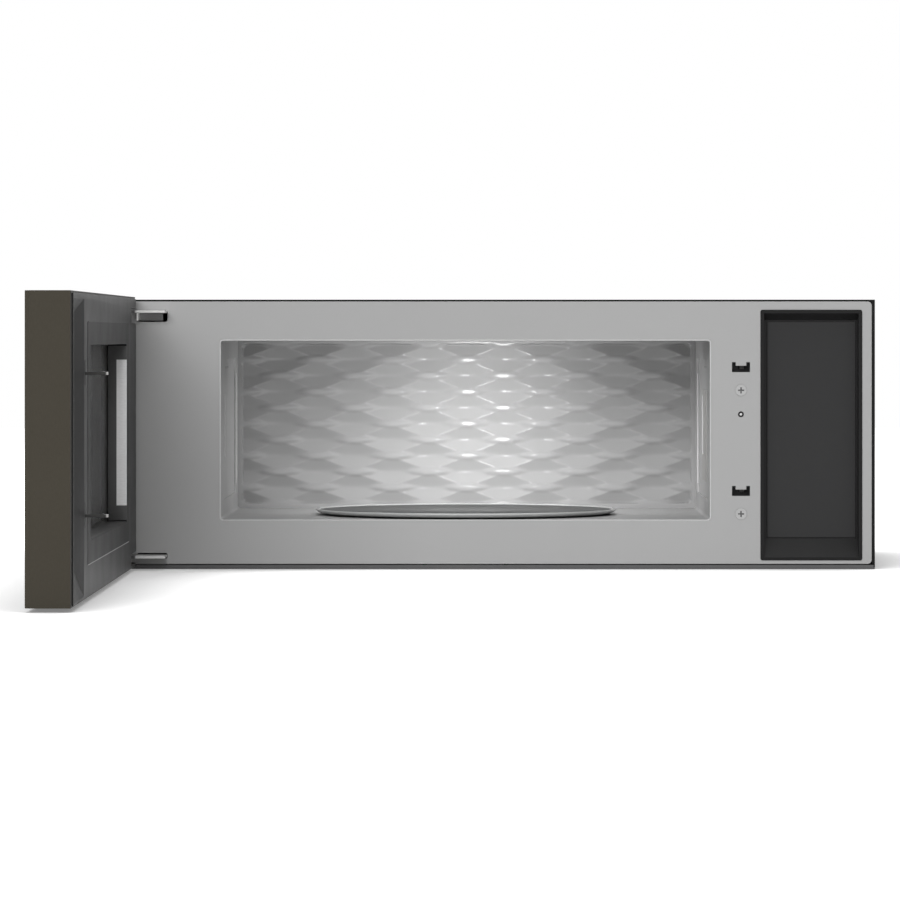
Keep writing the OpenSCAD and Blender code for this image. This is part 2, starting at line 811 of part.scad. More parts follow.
// Steel rail across the body with the two threaded holes for the cabinet bolts
module cabinet_bolt_rail() {
    color("#9a9a98")
    difference() {
        block(-bolt_span / 2 - 25, bolt_span / 2 + 25, -bolt_y - 15, -bolt_y + 15,
            duct_top_z - 8, duct_top_z);
        for (side = [-1, 1])
            translate([side * bolt_span / 2, -bolt_y, duct_top_z - 10])
                cylinder(h = 12, r = bolt_r);
    }
}

// Flat geared motor under the cavity, with its fixing ears against the well
module turntable_motor() {
    top = well_z - cavity_t;
    color("#c8c8c4")
    difference() {
        union() {
            translate([cavity_x, tray_cy, top - geared_motor_h])
                cylinder(h = geared_motor_h, r = geared_motor_r);
            block(cavity_x - geared_motor_r - 9, cavity_x + geared_motor_r + 9,
                tray_cy - 6, tray_cy + 6, top - 2, top);
        }
        translate([cavity_x, tray_cy, top - 12])
            cylinder(h = 14, r = shaft_r + run);
    }
}

// Three-lobed coupler on the motor's shaft
module drive_coupler() {
    color("#e2ddd0")
    union() {
        translate([cavity_x, tray_cy, well_z - cavity_t - 11])
            cylinder(h = 16, r = shaft_r);
        translate([cavity_x, tray_cy, well_z + 1])
            linear_extrude(tray_z - well_z - 1)
                polygon([for (i = [0 : 11])
                    let (a = 120 * floor(i / 4) + [-14, 14, 38, 82][i % 4],
                        r = [22, 22, 10, 10][i % 4])
                    [r * cos(a), r * sin(a)]]);
    }
}

// Pressed glass tray with a low rim and three driving lugs underneath
module glass_tray() {
    flat_r = tray_r - 13;
    color("#cfd6d6", 0.6)
    translate([cavity_x, tray_cy, 0])
    union() {
        translate([0, 0, tray_z])
            rotate_extrude($fn = 96)
                polygon([[0, 0], [flat_r, 0], [tray_r - 3, 3.2], [tray_r, 5.4], [tray_r - 1, 6.8],
                    [tray_r - 3.4, 6.4], [flat_r - 2, tray_t], [0, tray_t]]);
        for (i = [0 : 2])
            rotate([0, 0, 120 * i + 60])
                translate([18, -4, tray_z - 4])
                    cube([6, 8, 5]);
    }
}

// Hoop that carries the three wheels under the tray
module roller_ring() {
    color("#d9d5c8")
    translate([cavity_x, tray_cy, wheel_z])
    union() {
        rotate_extrude($fn = 96)
            translate([ring_r - 3, -1.8])
                square([6, 3.6]);
        for (i = [0 : 2])
            rotate([0, 0, 120 * i + 30])
                rotate([0, 90, 0])
                    translate([0, 0, ring_r])
                        cylinder(h = wheel_place_r - ring_r + wheel_w / 2 + 2, r = axle_r);
    }
}

// One plain wheel of the roller ring
module roller_wheel(i) {
    color("#e6e2d6")
    translate([cavity_x, tray_cy, wheel_z])
        rotate([0, 0, 120 * (i - 1) + 30])
            rotate([0, 90, 0])
                translate([0, 0, wheel_place_r - wheel_w / 2])
                    difference() {
                        cylinder(h = wheel_w, r = wheel_r);
                        translate([0, 0, -1])
                            cylinder(h = wheel_w + 2, r = axle_r + run);
                    }
}

module roller_wheel_1() {
    roller_wheel(1);
}

module roller_wheel_2() {
    roller_wheel(2);
}

module roller_wheel_3() {
    roller_wheel(3);
}

// Folded bracket behind the front plate that the latch hooks enter
module interlock_bracket() {
    color("#2e2e30")
    difference() {
        block(bracket_x0, bracket_x1, plate_back_y, plate_back_y + bracket_d,
            latch_low_z - 30, latch_top_z + 28);
        for (hook_z = [latch_top_z, latch_low_z])
            block(latch_x - 11, latch_x + 11, plate_back_y - 1, plate_back_y + 24,
                hook_z - hook_slot_low, hook_z + hook_slot_high);
        for (z = [[latch_low_z + 18, plunger_z[1] - 12], [plunger_z[1] + 16, latch_top_z - 14]])
            block(bracket_x0 + 2, bracket_x1 - 2, plate_back_y + 2, plate_back_y + bracket_d + 1, z[0], z[1]);
        block(latch_x - 11, latch_x + 11, plate_back_y + 2, plate_back_y + 24,
            plunger_z[1] - 13, plunger_z[1] + 17);
        for (z = plunger_z)
            block(switch_x - 2.2, switch_x + 2.2, plate_back_y + 20, plate_back_y + bracket_d + 1,
                z - 1.9, z + 1.9);
        bar_y(latch_x, locate_z, plate_back_y - 1, plate_back_y + 5, 2.9);
    }
}

// Three microswitches behind the bracket
module interlock_switches() {
    y0 = plate_back_y + bracket_d;
    color("#b03a2e")
    difference() {
        for (z = plunger_z)
            block(switch_x - 5, switch_x + 5, y0, y0 + 16, z - 10, z + 14);
        for (z = plunger_z)
            block(switch_x - 2.2, switch_x + 2.2, y0 - 1, y0 + 8, z - 1.9, z + 1.9);
    }
}

// A switch's sprung button
module plunger(z) {
    color("#e8e4d8")
    block(switch_x - 2, switch_x + 2, plunger_y, plate_back_y + bracket_d + 4.5, z - 1.7, z + 1.7);
}

module upper_plunger() {
    plunger(plunger_z[0]);
}

module middle_plunger() {
    plunger(plunger_z[1]);
}

module lower_plunger() {
    plunger(plunger_z[2]);
}

// Lamp in its holder beside the slots in the cavity's left wall
module cavity_lamp() {
    y = press_y0 + 76;
    z = press_z1 - 8;
    color("#e0d9b8")
    union() {
        bar_x(y, z, cavity_out_x0 - 30, cavity_out_x0 - 6, 9);
        block(cavity_out_x0 - 34, cavity_out_x0 - 30, y - 16, y + 16, z - 16, z + 16);
        for (dy = [-14, 14])
            block(cavity_out_x0 - 30, cavity_out_x0, y + dy - 1.5, y + dy + 1.5, z - 14, z + 14);
    }
}

// Supply board on posts along the case's right side
module power_board() {
    x = half_w - case_t - 8;
    y0 = front_y + board_front;
    color("#2f6b3a")
    union() {
        block(x - 1.6, x, y0, y0 + board_l, board_z0, board_z1);
        for (y = [y0 + 8, y0 + board_l - 8], z = [board_z0 + 6, board_z1 - 6])
            bar_x(y, z, x, half_w - case_t, 3);
        block(x - 24, x - 1.6, y0 + 14, y0 + 54, board_z1 - 54, board_z1 - 14);
        block(x - 14, x - 1.6, y0 + 70, y0 + 100, board_z1 - 50, board_z1 - 10);
        for (i = [0 : 3])
            bar_x(y0 + board_l - 74 + 20 * i, board_z1 - 24, x - 20, x - 1.6, 7);
        block(x - 12, x - 1.6, y0 + 12, y0 + 60, board_z0 + 14, board_z0 + 52);
    }
}

// Bush clipped under the case top, below the hole where the power cord comes out
module cord_gland() {
    color("#222222")
    translate([half_w - 60, -60, duct_top_z - 10])
    difference() {
        cylinder(h = 10, r = gland_r + 7);
        translate([0, 0, -1])
            cylinder(h = 12, r = gland_r);
    }
}

// The two cross-recess screws by the latch slots
module front_screws() {
    color("#b8b8b8")
    for (z = screw_z)
        difference() {
            union() {
                bar_y(latch_x, z, front_y - screw_head, front_y, 5.7);
                bar_y(latch_x, z, front_y, plate_back_y, 2);
            }
            block(latch_x - 3, latch_x + 3, front_y - 2, front_y - 0.2, z - 0.6, z + 0.6);
            block(latch_x - 0.6, latch_x + 0.6, front_y - 2, front_y - 0.2, z - 3, z + 3);
        }
}

// Pin end in its hole midway between the latch slots
module front_locating_pin() {
    color("#b8b8b8")
    union() {
        bar_y(latch_x, locate_z, front_y + 0.8, plate_back_y + 2, 1.25);
        bar_y(latch_x, locate_z, plate_back_y, plate_back_y + 2, 2.8);
    }
}

// Steel skin round the door's edges, with the hinge notches
module door_skin() {
    color("#45423b")
    on_open_door()
        difference() {
            block(-half_w, half_w, glass_y, skin_y, door_z, door_z1);
            block(-half_w + skin_t, half_w - skin_t, glass_y - 1, skin_y - skin_t,
                door_z + skin_t, door_z1 - skin_t);
            block(-half_w + 7, half_w - 11, skin_y - 2, skin_y + 1, cover_z0 - seat, cover_z1 + seat);
            hinge_notches();
        }
}

// What the fixed hinge arms need inside the moving door
module hinge_notches() {
    for (z = [upper_notch, lower_notch])
        block(-half_w - 1, hinge_x + notch_x, hinge_y - notch_deep, cover_y + 1, z[0], z[1]);
}

// Outer glass over the whole front of the door
module door_glass() {
    color("#26231f")
    on_open_door()
        slab(-half_w, half_w, door_out_y, glass_y, door_z, door_z1, 2);
}

// Steel frame inside the door, with the lugs that hold the hinge pins
module door_frame() {
    color("#9d9d9b")
    on_open_door()
        difference() {
            union() {
                difference() {
                    block(-half_w + edge_in, half_w - edge_in, glass_y, glass_y + frame_t,
                        door_z + edge_in, door_z1 - edge_in);
                    block(window_x + 6, window_x1 - 6, glass_y - 1, glass_y + 3,
                        window_z + 6, window_z1 - 6);
                }
                for (z = [upper_notch[0] - 3, upper_notch[1], lower_notch[0] - 2, lower_notch[1]])
                    block(-half_w + edge_in, hinge_x + 14, glass_y, hinge_y + 9, z, z + 2);
                for (z = [door_z + edge_in, door_z1 - edge_in - frame_t])
                    block(hinge_x + notch_x + 2, half_w - 16, glass_y + frame_t, cover_y - cover_t - 8,
                        z, z + frame_t);
            }
            for (z = [upper_notch, lower_notch])
                translate([hinge_x, hinge_y, z[0] - 4])
                    cylinder(h = z[1] - z[0] + 8, r = pin_r);
        }
}

// Moulded inner cover: plain round the choke panel, dished behind the controls
module inner_cover() {
    x0 = -half_w + 7.5;
    x1 = half_w - 11.5;
    color("#3d3d3d")
    on_open_door()
        difference() {
            union() {
                block(x0, x1, cover_y - cover_t, cover_y, cover_z0, cover_z1);
                block(dish_x0 - 2, dish_x1, cover_y - dish_d - cover_t, cover_y - cover_t,
                    dish_z0 - 1, dish_z1 + 1);
            }
            block(choke_x0 - seat, choke_x1 + seat, cover_y - cover_t - 1, cover_y + 1,
                choke_z0 - seat, choke_z1 + seat);
            dish();
            for (hook_z = [latch_top_z, latch_low_z])
                block(latch_x - 2.6, latch_x + 2.6, cover_y - 20, cover_y + 1,
                    hook_z - hook_slot_low, hook_z + hook_slot_high);
            hinge_notches();
        }
}

// Hollow of the dish: a long bottom slope, a short top slope and a steep left one
module dish() {
    y1 = cover_y + 1;
    floor_y = cover_y - dish_d;
    intersection() {
        translate([0, 0, -1])
            linear_extrude(door_z1 + 2)
                polygon([[dish_x0, y1], [dish_x0, cover_y], [dish_x0 + 13, floor_y],
                    [dish_x1 - 2, floor_y], [dish_x1 - 2, y1]]);
        rotate([90, 0, 90])
            translate([0, 0, dish_x0 - 1])
                linear_extrude(dish_x1 - dish_x0 + 2)
                    polygon([[y1, dish_z0], [cover_y, dish_z0], [floor_y, dish_z0 + 21.4],
                        [floor_y, dish_z1 - 10.3], [cover_y, dish_z1], [y1, dish_z1]]);
    }
}

// Panel round the window that keeps the microwaves in, with the walls down to the screen
module choke_panel() {
    color("#454545")
    on_open_door()
        difference() {
            union() {
                block(choke_x0, choke_x1, choke_y - 3, choke_y, choke_z0, choke_z1);
                block(window_x - 2, window_x1 + 2, window_y, choke_y - 3,
                    window_z - 2, window_z1 + 2);
            }
            slab(window_x, window_x1, window_y - 1, choke_y + 1, window_z, window_z1, 2.5);
        }
}

// Punched sheet that lets light through and keeps microwaves in
module window_screen() {
    color("#303030")
    on_open_door()
        block(window_x - 8, window_x1 + 8, window_y - screen_t, window_y,
            window_z - 8, window_z1 + 8);
}

// Pane between the screen and the outer glass
module window_pane() {
    color("#5a5a5a", 0.5)
    on_open_door()
        block(window_x - 10, window_x1 + 10, glass_y + frame_t, glass_y + frame_t + pane_t,
            window_z - 10, window_z1 + 10);
}

// Control board in the dish's back, in front of the outer glass
module control_board() {
    z0 = door_z + panel_low;
    z1 = door_z1 - panel_top;
    y0 = glass_y + frame_t;
    color("#2f6b3a")
    on_open_door()
        union() {
            block(dish_x0 + 8, dish_x1 - 6, y0 + 7, y0 + 8.6, z0, z1);
            for (x = [dish_x0 + 12, dish_x1 - 10], z = [z0 + 4, z1 - 4])
                bar_y(x, z, y0, y0 + 7, 2.5);
            for (i = [0 : 3])
                block(dish_x0 + 20, dish_x0 + 44, y0 + 8.6, y0 + 11, z0 + 12 + 40 * i, z0 + 30 + 40 * i);
        }
}

// Lit display on the board, behind the outer glass
module display_module() {
    z1 = door_z1 - panel_top - 18;
    color("#101418")
    on_open_door()
        block(dish_x0 + 18, dish_x1 - 16, glass_y + frame_t, glass_y + frame_t + 7, z1 - 26, z1);
}

// Upper and lower hinge pins, held by the frame's lugs
module hinge_pins() {
    color("#d0d0d0")
    on_open_door()
        for (z = [upper_notch, lower_notch])
            translate([hinge_x, hinge_y, z[0] - 2.4])
                cylinder(h = z[1] - z[0] + 4.4, r = pin_r);
}

// Channel that guides the latch slider inside the door
module latch_guide() {
    y1 = cover_y - cover_t - dish_d - 1;
    color("#55565a")
    on_open_door()
        difference() {
            block(latch_x - 5.5, latch_x + 5.5, glass_y + frame_t, y1, latch_low_z - 22, latch_top_z + 22);
            block(latch_x - 2.5, latch_x + 2.5, y1 - 8, y1 + 1, latch_low_z - 18, latch_top_z + 18);
        }
}

// Bar with the two hooks that reach through the inner cover
module latch_slider() {
    y1 = cover_y - cover_t - dish_d - 1;
    color("#c4c4c4")
    on_open_door()
        union() {
            block(latch_x - 2, latch_x + 2, y1 - 7.5, y1, latch_low_z - 6, latch_top_z + 12);
            for (z = [latch_top_z, latch_low_z]) {
                block(latch_x - hook_w / 2, latch_x + hook_w / 2, y1 - 1, hook_end_y,
                    z - hook_h / 2, z + hook_h / 2);
                rotate([90, 0, 90])
                    translate([0, 0, latch_x - hook_w / 2])
                        linear_extrude(hook_w)
                            polygon([[hook_end_y - 5, z], [hook_end_y, z],
                                [hook_end_y - 5, z + hook_tip]]);
            }
        }
}

// Spring under the slider, which pushes the hooks up
module latch_spring() {
    y1 = cover_y - cover_t - dish_d - 1;
    color("#b0b0b0")
    on_open_door()
        translate([latch_x, y1 - 3.75, latch_low_z - 18])
            difference() {
                cylinder(h = 12, r = 2.2);
                translate([0, 0, -1])
                    cylinder(h = 14, r = 1.4);
            }
}

outer_case();
base_pan();
rear_panel();
front_plate();
oven_cavity();
cavity_back_panel();
control_recess();
recess_plate();
upper_hinge_arm();
lower_hinge_arm();
left_grease_filter();
right_grease_filter();
cooktop_lens();
cooktop_light_board();
waveguide();
waveguide_cover();
magnetron();
high_voltage_transformer();
high_voltage_capacitor();
cooling_fan_motor();
cooling_fan_blade();
blower_housing();
blower_motor();
blower_wheels();
exhaust_collar();
damper_flap();
cabinet_bolt_rail();
turntable_motor();
drive_coupler();
glass_tray();
roller_ring();
roller_wheel_1();
roller_wheel_2();
roller_wheel_3();
interlock_bracket();
interlock_switches();
upper_plunger();
middle_plunger();
lower_plunger();
cavity_lamp();
power_board();
cord_gland();
front_screws();
front_locating_pin();
door_skin();
door_glass();
door_frame();
inner_cover();
choke_panel();
window_screen();
window_pane();
control_board();
display_module();
hinge_pins();
latch_guide();
latch_slider();
latch_spring();
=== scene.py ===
import math

import bpy
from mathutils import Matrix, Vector


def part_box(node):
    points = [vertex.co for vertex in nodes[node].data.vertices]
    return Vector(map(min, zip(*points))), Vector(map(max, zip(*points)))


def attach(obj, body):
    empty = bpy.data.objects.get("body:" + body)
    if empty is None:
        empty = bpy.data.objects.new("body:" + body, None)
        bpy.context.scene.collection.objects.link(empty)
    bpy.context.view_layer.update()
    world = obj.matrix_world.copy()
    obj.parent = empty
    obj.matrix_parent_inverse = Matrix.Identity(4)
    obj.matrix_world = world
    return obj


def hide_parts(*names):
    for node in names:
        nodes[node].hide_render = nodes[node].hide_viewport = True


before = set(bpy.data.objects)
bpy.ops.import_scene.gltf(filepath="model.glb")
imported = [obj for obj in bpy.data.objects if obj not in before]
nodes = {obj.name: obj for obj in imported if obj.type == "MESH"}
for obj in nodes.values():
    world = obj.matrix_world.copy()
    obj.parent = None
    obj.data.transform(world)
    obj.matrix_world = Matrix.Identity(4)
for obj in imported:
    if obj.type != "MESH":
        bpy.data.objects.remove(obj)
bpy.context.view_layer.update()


# Camera: a long lens at the height of the cavity's top, level and square to the front plate.
# The frame is shifted so that the lens's axis stays right of and above its middle.
camera_data = bpy.data.cameras.new("camera")
camera_data.sensor_width = 36
camera_data.lens = 201.2
camera_data.shift_x = -0.0414
camera_data.shift_y = -0.1278
camera_data.clip_start = 0.1
camera_data.clip_end = 60
camera = bpy.data.objects.new("camera", camera_data)
bpy.context.collection.objects.link(camera)
camera.location = (0, -5.336, 0.229)
camera.rotation_euler = (math.radians(90), 0, 0)
bpy.context.scene.camera = camera
bpy.context.scene.view_settings.view_transform = "Standard"


# Studio: a plain white floor in a white room, under large soft lamps, with three small lamps
# for the light inside the cavity. The floor keeps a soft shadow wherever the object covers it.
FLOOR_SIZE = 14
FLOOR_DROP = 0.0005
SHADOW_GLOW = 0.2
SHADOW_REACH = 0.24
SHADOW_FULL = 0.5
ROOM_LIGHT = 0.26
SPOT_WATTS = 0.035
SPOT_SPREAD = 44


def add_math(tree, operation, first, second):
    """A math node; each of first and second is a socket or a number."""
    node = tree.nodes.new("ShaderNodeMath")
    node.operation = operation
    for place, value in enumerate((first, second)):
        if isinstance(value, (int, float)):
            node.inputs[place].default_value = value
        else:
            tree.links.new(value, node.inputs[place])
    return node.outputs[0]


def seen(tree):
    """1 where the camera looks, also by way of glass or a gloss, and 0 for all other light."""
    path = tree.nodes.new("ShaderNodeLightPath")
    straight = add_math(tree, "MAXIMUM", path.outputs["Is Camera Ray"],
        path.outputs["Is Glossy Ray"])
    return add_math(tree, "MAXIMUM", straight, path.outputs["Is Transmission Ray"])


world = bpy.data.worlds.new("room")
bpy.context.scene.world = world
world.use_nodes = True
world_light = world.node_tree.nodes["Background"]
world_light.inputs["Color"].default_value = (1, 1, 1, 1)
room_strength = world.node_tree.nodes.new("ShaderNodeMapRange")
room_strength.inputs["To Min"].default_value = ROOM_LIGHT
world.node_tree.links.new(seen(world.node_tree), room_strength.inputs["Value"])
world.node_tree.links.new(room_strength.outputs[0], world_light.inputs["Strength"])

bpy.ops.object.select_all(action="DESELECT")
bpy.ops.mesh.primitive_plane_add(size=FLOOR_SIZE, location=(0, 0, -FLOOR_DROP))
floor = bpy.context.object
floor.name = "studio_floor"
floor_paint = bpy.data.materials.new("studio_white")
floor_paint.use_nodes = True
tree = floor_paint.node_tree
matt = tree.nodes.new("ShaderNodeBsdfDiffuse")
matt.inputs["Color"].default_value = (0.88, 0.88, 0.88, 1)
glow = tree.nodes.new("ShaderNodeEmission")
openness = tree.nodes.new("ShaderNodeAmbientOcclusion")
openness.samples = 32
openness.inputs["Distance"].default_value = SHADOW_REACH
clear = tree.nodes.new("ShaderNodeMapRange")
clear.inputs["From Min"].default_value = SHADOW_FULL
clear.inputs["To Min"].default_value = SHADOW_GLOW
tree.links.new(openness.outputs["AO"], clear.inputs["Value"])
tree.links.new(add_math(tree, "MULTIPLY", seen(tree), clear.outputs[0]), glow.inputs["Strength"])
both = tree.nodes.new("ShaderNodeAddShader")
tree.links.new(matt.outputs[0], both.inputs[0])
tree.links.new(glow.outputs[0], both.inputs[1])
below = tree.nodes.new("ShaderNodeMixShader")
tree.links.new(tree.nodes.new("ShaderNodeNewGeometry").outputs["Backfacing"], below.inputs[0])
tree.links.new(both.outputs[0], below.inputs[1])
tree.links.new(tree.nodes.new("ShaderNodeBsdfTransparent").outputs[0], below.inputs[2])
tree.links.new(below.outputs[0], tree.nodes["Material Output"].inputs["Surface"])
floor.data.materials.append(floor_paint)


def softbox(name, place, aim, width, height, watts, glints=True):
    """A flat lamp at place that faces aim; the camera doesn't see it, and gloss may not."""
    lamp = bpy.data.lights.new(name, "AREA")
    lamp.shape = "RECTANGLE"
    lamp.size = width
    lamp.size_y = height
    lamp.energy = watts
    holder = bpy.data.objects.new(name, lamp)
    bpy.context.collection.objects.link(holder)
    holder.location = place
    turn = (Vector(aim) - Vector(place)).to_track_quat("-Z", "Y")
    holder.rotation_euler = turn.to_euler()
    holder.visible_camera = False
    holder.visible_glossy = glints
    return holder


softbox("front_box", (-1.0, -6.2, 1.7), (0, -0.4, 0.15), 2.4, 1.6, 262, glints=False)
softbox("top_box", (0.1, -0.9, 3.6), (0, -0.5, 0), 4.0, 3.4, 48)
softbox("rear_box", (-0.9, 4.4, 2.2), (0, 0, 0.1), 2.4, 1.8, 30)
softbox("cavity_glow", (-0.035, -0.25, 0.143), (-0.02, 0, 0.143), 0.07, 0.03, 0.42, glints=False)
softbox("cavity_lamp_glow", (0, -0.2, 0.222), (0, -0.2, 0), 0.3, 0.1, 0.34, glints=False)
spot = softbox("cavity_spot", (0, -0.372, 0.147), (0, 0, 0.147), 0.07, 0.13, SPOT_WATTS)
spot.data.spread = math.radians(SPOT_SPREAD)


# Outer case: one black powder-coated steel sheet folded over the top and both sides,
# with a narrow hem closed round the front plate. Its folds and cut edges are softened.
def surface_group(name, inputs, outputs):
    """An empty shader node group with its named sockets, and its two end nodes."""
    group = bpy.data.node_groups.new(name, "ShaderNodeTree")
    for label, kind, value in inputs:
        socket = group.interface.new_socket(name=label, in_out="INPUT", socket_type=kind)
        socket.default_value = value
    for label, kind in outputs:
        group.interface.new_socket(name=label, in_out="OUTPUT", socket_type=kind)
    start = group.nodes.new("NodeGroupInput")
    end = group.nodes.new("NodeGroupOutput")
    return group, start, end


def add_noise(tree, vector, scale, detail):
    """A noise pattern on vector; scale is a socket or a number."""
    node = tree.nodes.new("ShaderNodeTexNoise")
    node.inputs["Detail"].default_value = detail
    tree.links.new(vector, node.inputs["Vector"])
    if isinstance(scale, (int, float)):
        node.inputs["Scale"].default_value = scale
    else:
        tree.links.new(scale, node.inputs["Scale"])
    return node.outputs["Fac"]


def object_place(tree):
    """Where on the object the surface is."""
    return tree.nodes.new("ShaderNodeTexCoord").outputs["Object"]


def scale_colour(tree, colour, factor):
    """The colour times a changing factor."""
    node = tree.nodes.new("ShaderNodeVectorMath")
    node.operation = "SCALE"
    tree.links.new(colour, node.inputs[0])
    tree.links.new(factor, node.inputs["Scale"])
    return node.outputs[0]


GRAIN_INPUTS = [("Colour", "NodeSocketColor", (0.5, 0.5, 0.5, 1)),
    ("Cloud", "NodeSocketFloat", 0.06), ("Cloud scale", "NodeSocketFloat", 5.0),
    ("Fleck", "NodeSocketFloat", 0.1), ("Fleck scale", "NodeSocketFloat", 900.0),
    ("Gloss", "NodeSocketFloat", 0.4), ("Gloss spread", "NodeSocketFloat", 0.1),
    ("Stretch", "NodeSocketVector", (1, 1, 1))]
GRAIN_OUTPUTS = [("Colour", "NodeSocketColor"), ("Roughness", "NodeSocketFloat"),
    ("Height", "NodeSocketFloat")]
RUBBED_SCALE = 23.0


def swing(tree, pattern, reach):
    """The pattern's rise and fall about its middle, times reach."""
    return add_math(tree, "MULTIPLY", add_math(tree, "SUBTRACT", pattern, 0.5), reach)


# Broad clouds of lighter and darker tone, fine flecks, and patches rubbed a little smoother
grain, grain_in, grain_out = surface_group("sheet_grain", GRAIN_INPUTS, GRAIN_OUTPUTS)
place = object_place(grain)
drawn = grain.nodes.new("ShaderNodeVectorMath")
drawn.operation = "MULTIPLY"
grain.links.new(place, drawn.inputs[0])
grain.links.new(grain_in.outputs["Stretch"], drawn.inputs[1])
cloud = add_noise(grain, place, grain_in.outputs["Cloud scale"], 4)
fleck = add_noise(grain, drawn.outputs[0], grain_in.outputs["Fleck scale"], 2)
mottle = add_math(grain, "ADD", swing(grain, cloud, grain_in.outputs["Cloud"]),
    swing(grain, fleck, grain_in.outputs["Fleck"]))
tone = add_math(grain, "ADD", mottle, 1.0)
grain.links.new(scale_colour(grain, grain_in.outputs["Colour"], tone), grain_out.inputs["Colour"])
dull = swing(grain, add_noise(grain, place, RUBBED_SCALE, 5), grain_in.outputs["Gloss spread"])
roughness = add_math(grain, "ADD", grain_in.outputs["Gloss"], dull)
grain.links.new(roughness, grain_out.inputs["Roughness"])
grain.links.new(fleck, grain_out.inputs["Height"])


def blank_finish(name):
    """A new material, its nodes and its shader."""
    material = bpy.data.materials.new(name)
    material.use_nodes = True
    return material, material.node_tree, material.node_tree.nodes["Principled BSDF"]


def add_group(tree, group, values):
    """A shader node group placed in a material with the material's own values."""
    node = tree.nodes.new("ShaderNodeGroup")
    node.node_tree = group
    for label, value in values.items():
        node.inputs[label].default_value = value
    return node


def add_bump(tree, shader, height, strength, depth):
    """Fine relief on the surface."""
    relief = tree.nodes.new("ShaderNodeBump")
    relief.inputs["Strength"].default_value = strength
    relief.inputs["Distance"].default_value = depth
    tree.links.new(height, relief.inputs["Height"])
    tree.links.new(relief.outputs["Normal"], shader.inputs["Normal"])


def finish(name, colour, gloss, cloud=0.06, cloud_scale=5.0, fleck=0.1, fleck_scale=900.0,
           spread=0.1, stretch=(1, 1, 1), bump=0.05, depth=0.0002, metal=0.0, coat=0.0, shine=0.5):
    """A painted, moulded or bare surface: the sheet grain with this finish's own values."""
    material, tree, shader = blank_finish(name)
    pattern = add_group(tree, grain, {"Colour": (*colour, 1), "Cloud": cloud,
        "Cloud scale": cloud_scale, "Fleck": fleck, "Fleck scale": fleck_scale, "Gloss": gloss,
        "Gloss spread": spread, "Stretch": stretch})
    tree.links.new(pattern.outputs["Colour"], shader.inputs["Base Color"])
    tree.links.new(pattern.outputs["Roughness"], shader.inputs["Roughness"])
    add_bump(tree, shader, pattern.outputs["Height"], bump, depth)
    shader.inputs["Metallic"].default_value = metal
    shader.inputs["Coat Weight"].default_value = coat
    shader.inputs["Specular IOR Level"].default_value = shine
    material.diffuse_color = (*colour, 1)
    return material


def dress(material, *names):
    """Gives CAD nodes their finish."""
    for name in names:
        for socket in nodes[name].material_slots:
            socket.material = material


def only(piece):
    """Selects one piece and makes it the active one."""
    bpy.ops.object.select_all(action="DESELECT")
    piece.select_set(True)
    bpy.context.view_layer.objects.active = piece


def apply_all(piece):
    """Applies the piece's modifiers in order."""
    only(piece)
    for modifier in list(piece.modifiers):
        bpy.ops.object.modifier_apply(modifier=modifier.name)


def smooth(angle):
    """Smooth shading, but for edges sharper than angle."""
    bpy.ops.object.shade_smooth_by_angle(angle=math.radians(angle))


MERGE = 0.00001
FLAT = 0.6
SHARP = 30


def eased_copy(name, node, body, material, radius):
    """A copy of a CAD node with its sharp edges rounded off, which stands for that node."""
    piece = bpy.data.objects.new(name, nodes[node].data.copy())
    bpy.context.collection.objects.link(piece)
    only(piece)
    bpy.ops.object.mode_set(mode="EDIT")
    bpy.ops.mesh.select_all(action="SELECT")
    bpy.ops.mesh.remove_doubles(threshold=MERGE)
    bpy.ops.mesh.dissolve_limited(angle_limit=math.radians(FLAT))
    bpy.ops.mesh.vert_connect_concave()
    bpy.ops.object.mode_set(mode="OBJECT")
    edge = piece.modifiers.new("edge", "BEVEL")
    edge.limit_method = "ANGLE"
    edge.angle_limit = math.radians(SHARP)
    edge.width = radius
    edge.segments = 2
    edge.use_clamp_overlap = True
    apply_all(piece)
    smooth(35)
    flats = piece.modifiers.new("flats", "WEIGHTED_NORMAL")
    flats.mode = "FACE_AREA"
    flats.keep_sharp = True
    apply_all(piece)
    piece.data.materials.clear()
    piece.data.materials.append(material)
    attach(piece, body)
    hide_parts(node)
    return piece


case_black = finish("case_black", (0.008, 0.008, 0.0081), 0.55, cloud=0.2, fleck=0.2,
    fleck_scale=1600, spread=0.15, bump=0.2, depth=0.0003, shine=0.1)
eased_copy("wrapped_case", "outer_case", "cabinet", case_black, 0.0005)


# Base pan and rear panel: the pan is grey painted steel with a lip along the front, and the
# panel is bare galvanised steel, whose crystals show as faint patches.
pan_grey = finish("pan_grey", (0.075, 0.075, 0.077), 0.45, cloud=0.12, fleck=0.2, bump=0.12)
eased_copy("folded_pan", "base_pan", "cabinet", pan_grey, 0.0005)

galvanised, tree, shader = blank_finish("galvanised_steel")
shader.inputs["Metallic"].default_value = 0.85
crystals = tree.nodes.new("ShaderNodeTexVoronoi")
crystals.inputs["Scale"].default_value = 95
tree.links.new(object_place(tree), crystals.inputs["Vector"])
shades = tree.nodes.new("ShaderNodeSeparateColor")
tree.links.new(crystals.outputs["Color"], shades.inputs["Color"])
steel = add_group(tree, grain, {"Colour": (0.5, 0.5, 0.49, 1), "Gloss": 0.4})
tone = tree.nodes.new("ShaderNodeMapRange")
tone.inputs["To Min"].default_value = 0.82
tone.inputs["To Max"].default_value = 1.1
tree.links.new(shades.outputs["Red"], tone.inputs["Value"])
patched = scale_colour(tree, steel.outputs["Colour"], tone.outputs[0])
tree.links.new(patched, shader.inputs["Base Color"])
gloss = tree.nodes.new("ShaderNodeMapRange")
gloss.inputs["To Min"].default_value = 0.3
gloss.inputs["To Max"].default_value = 0.5
tree.links.new(shades.outputs["Green"], gloss.inputs["Value"])
tree.links.new(gloss.outputs[0], shader.inputs["Roughness"])
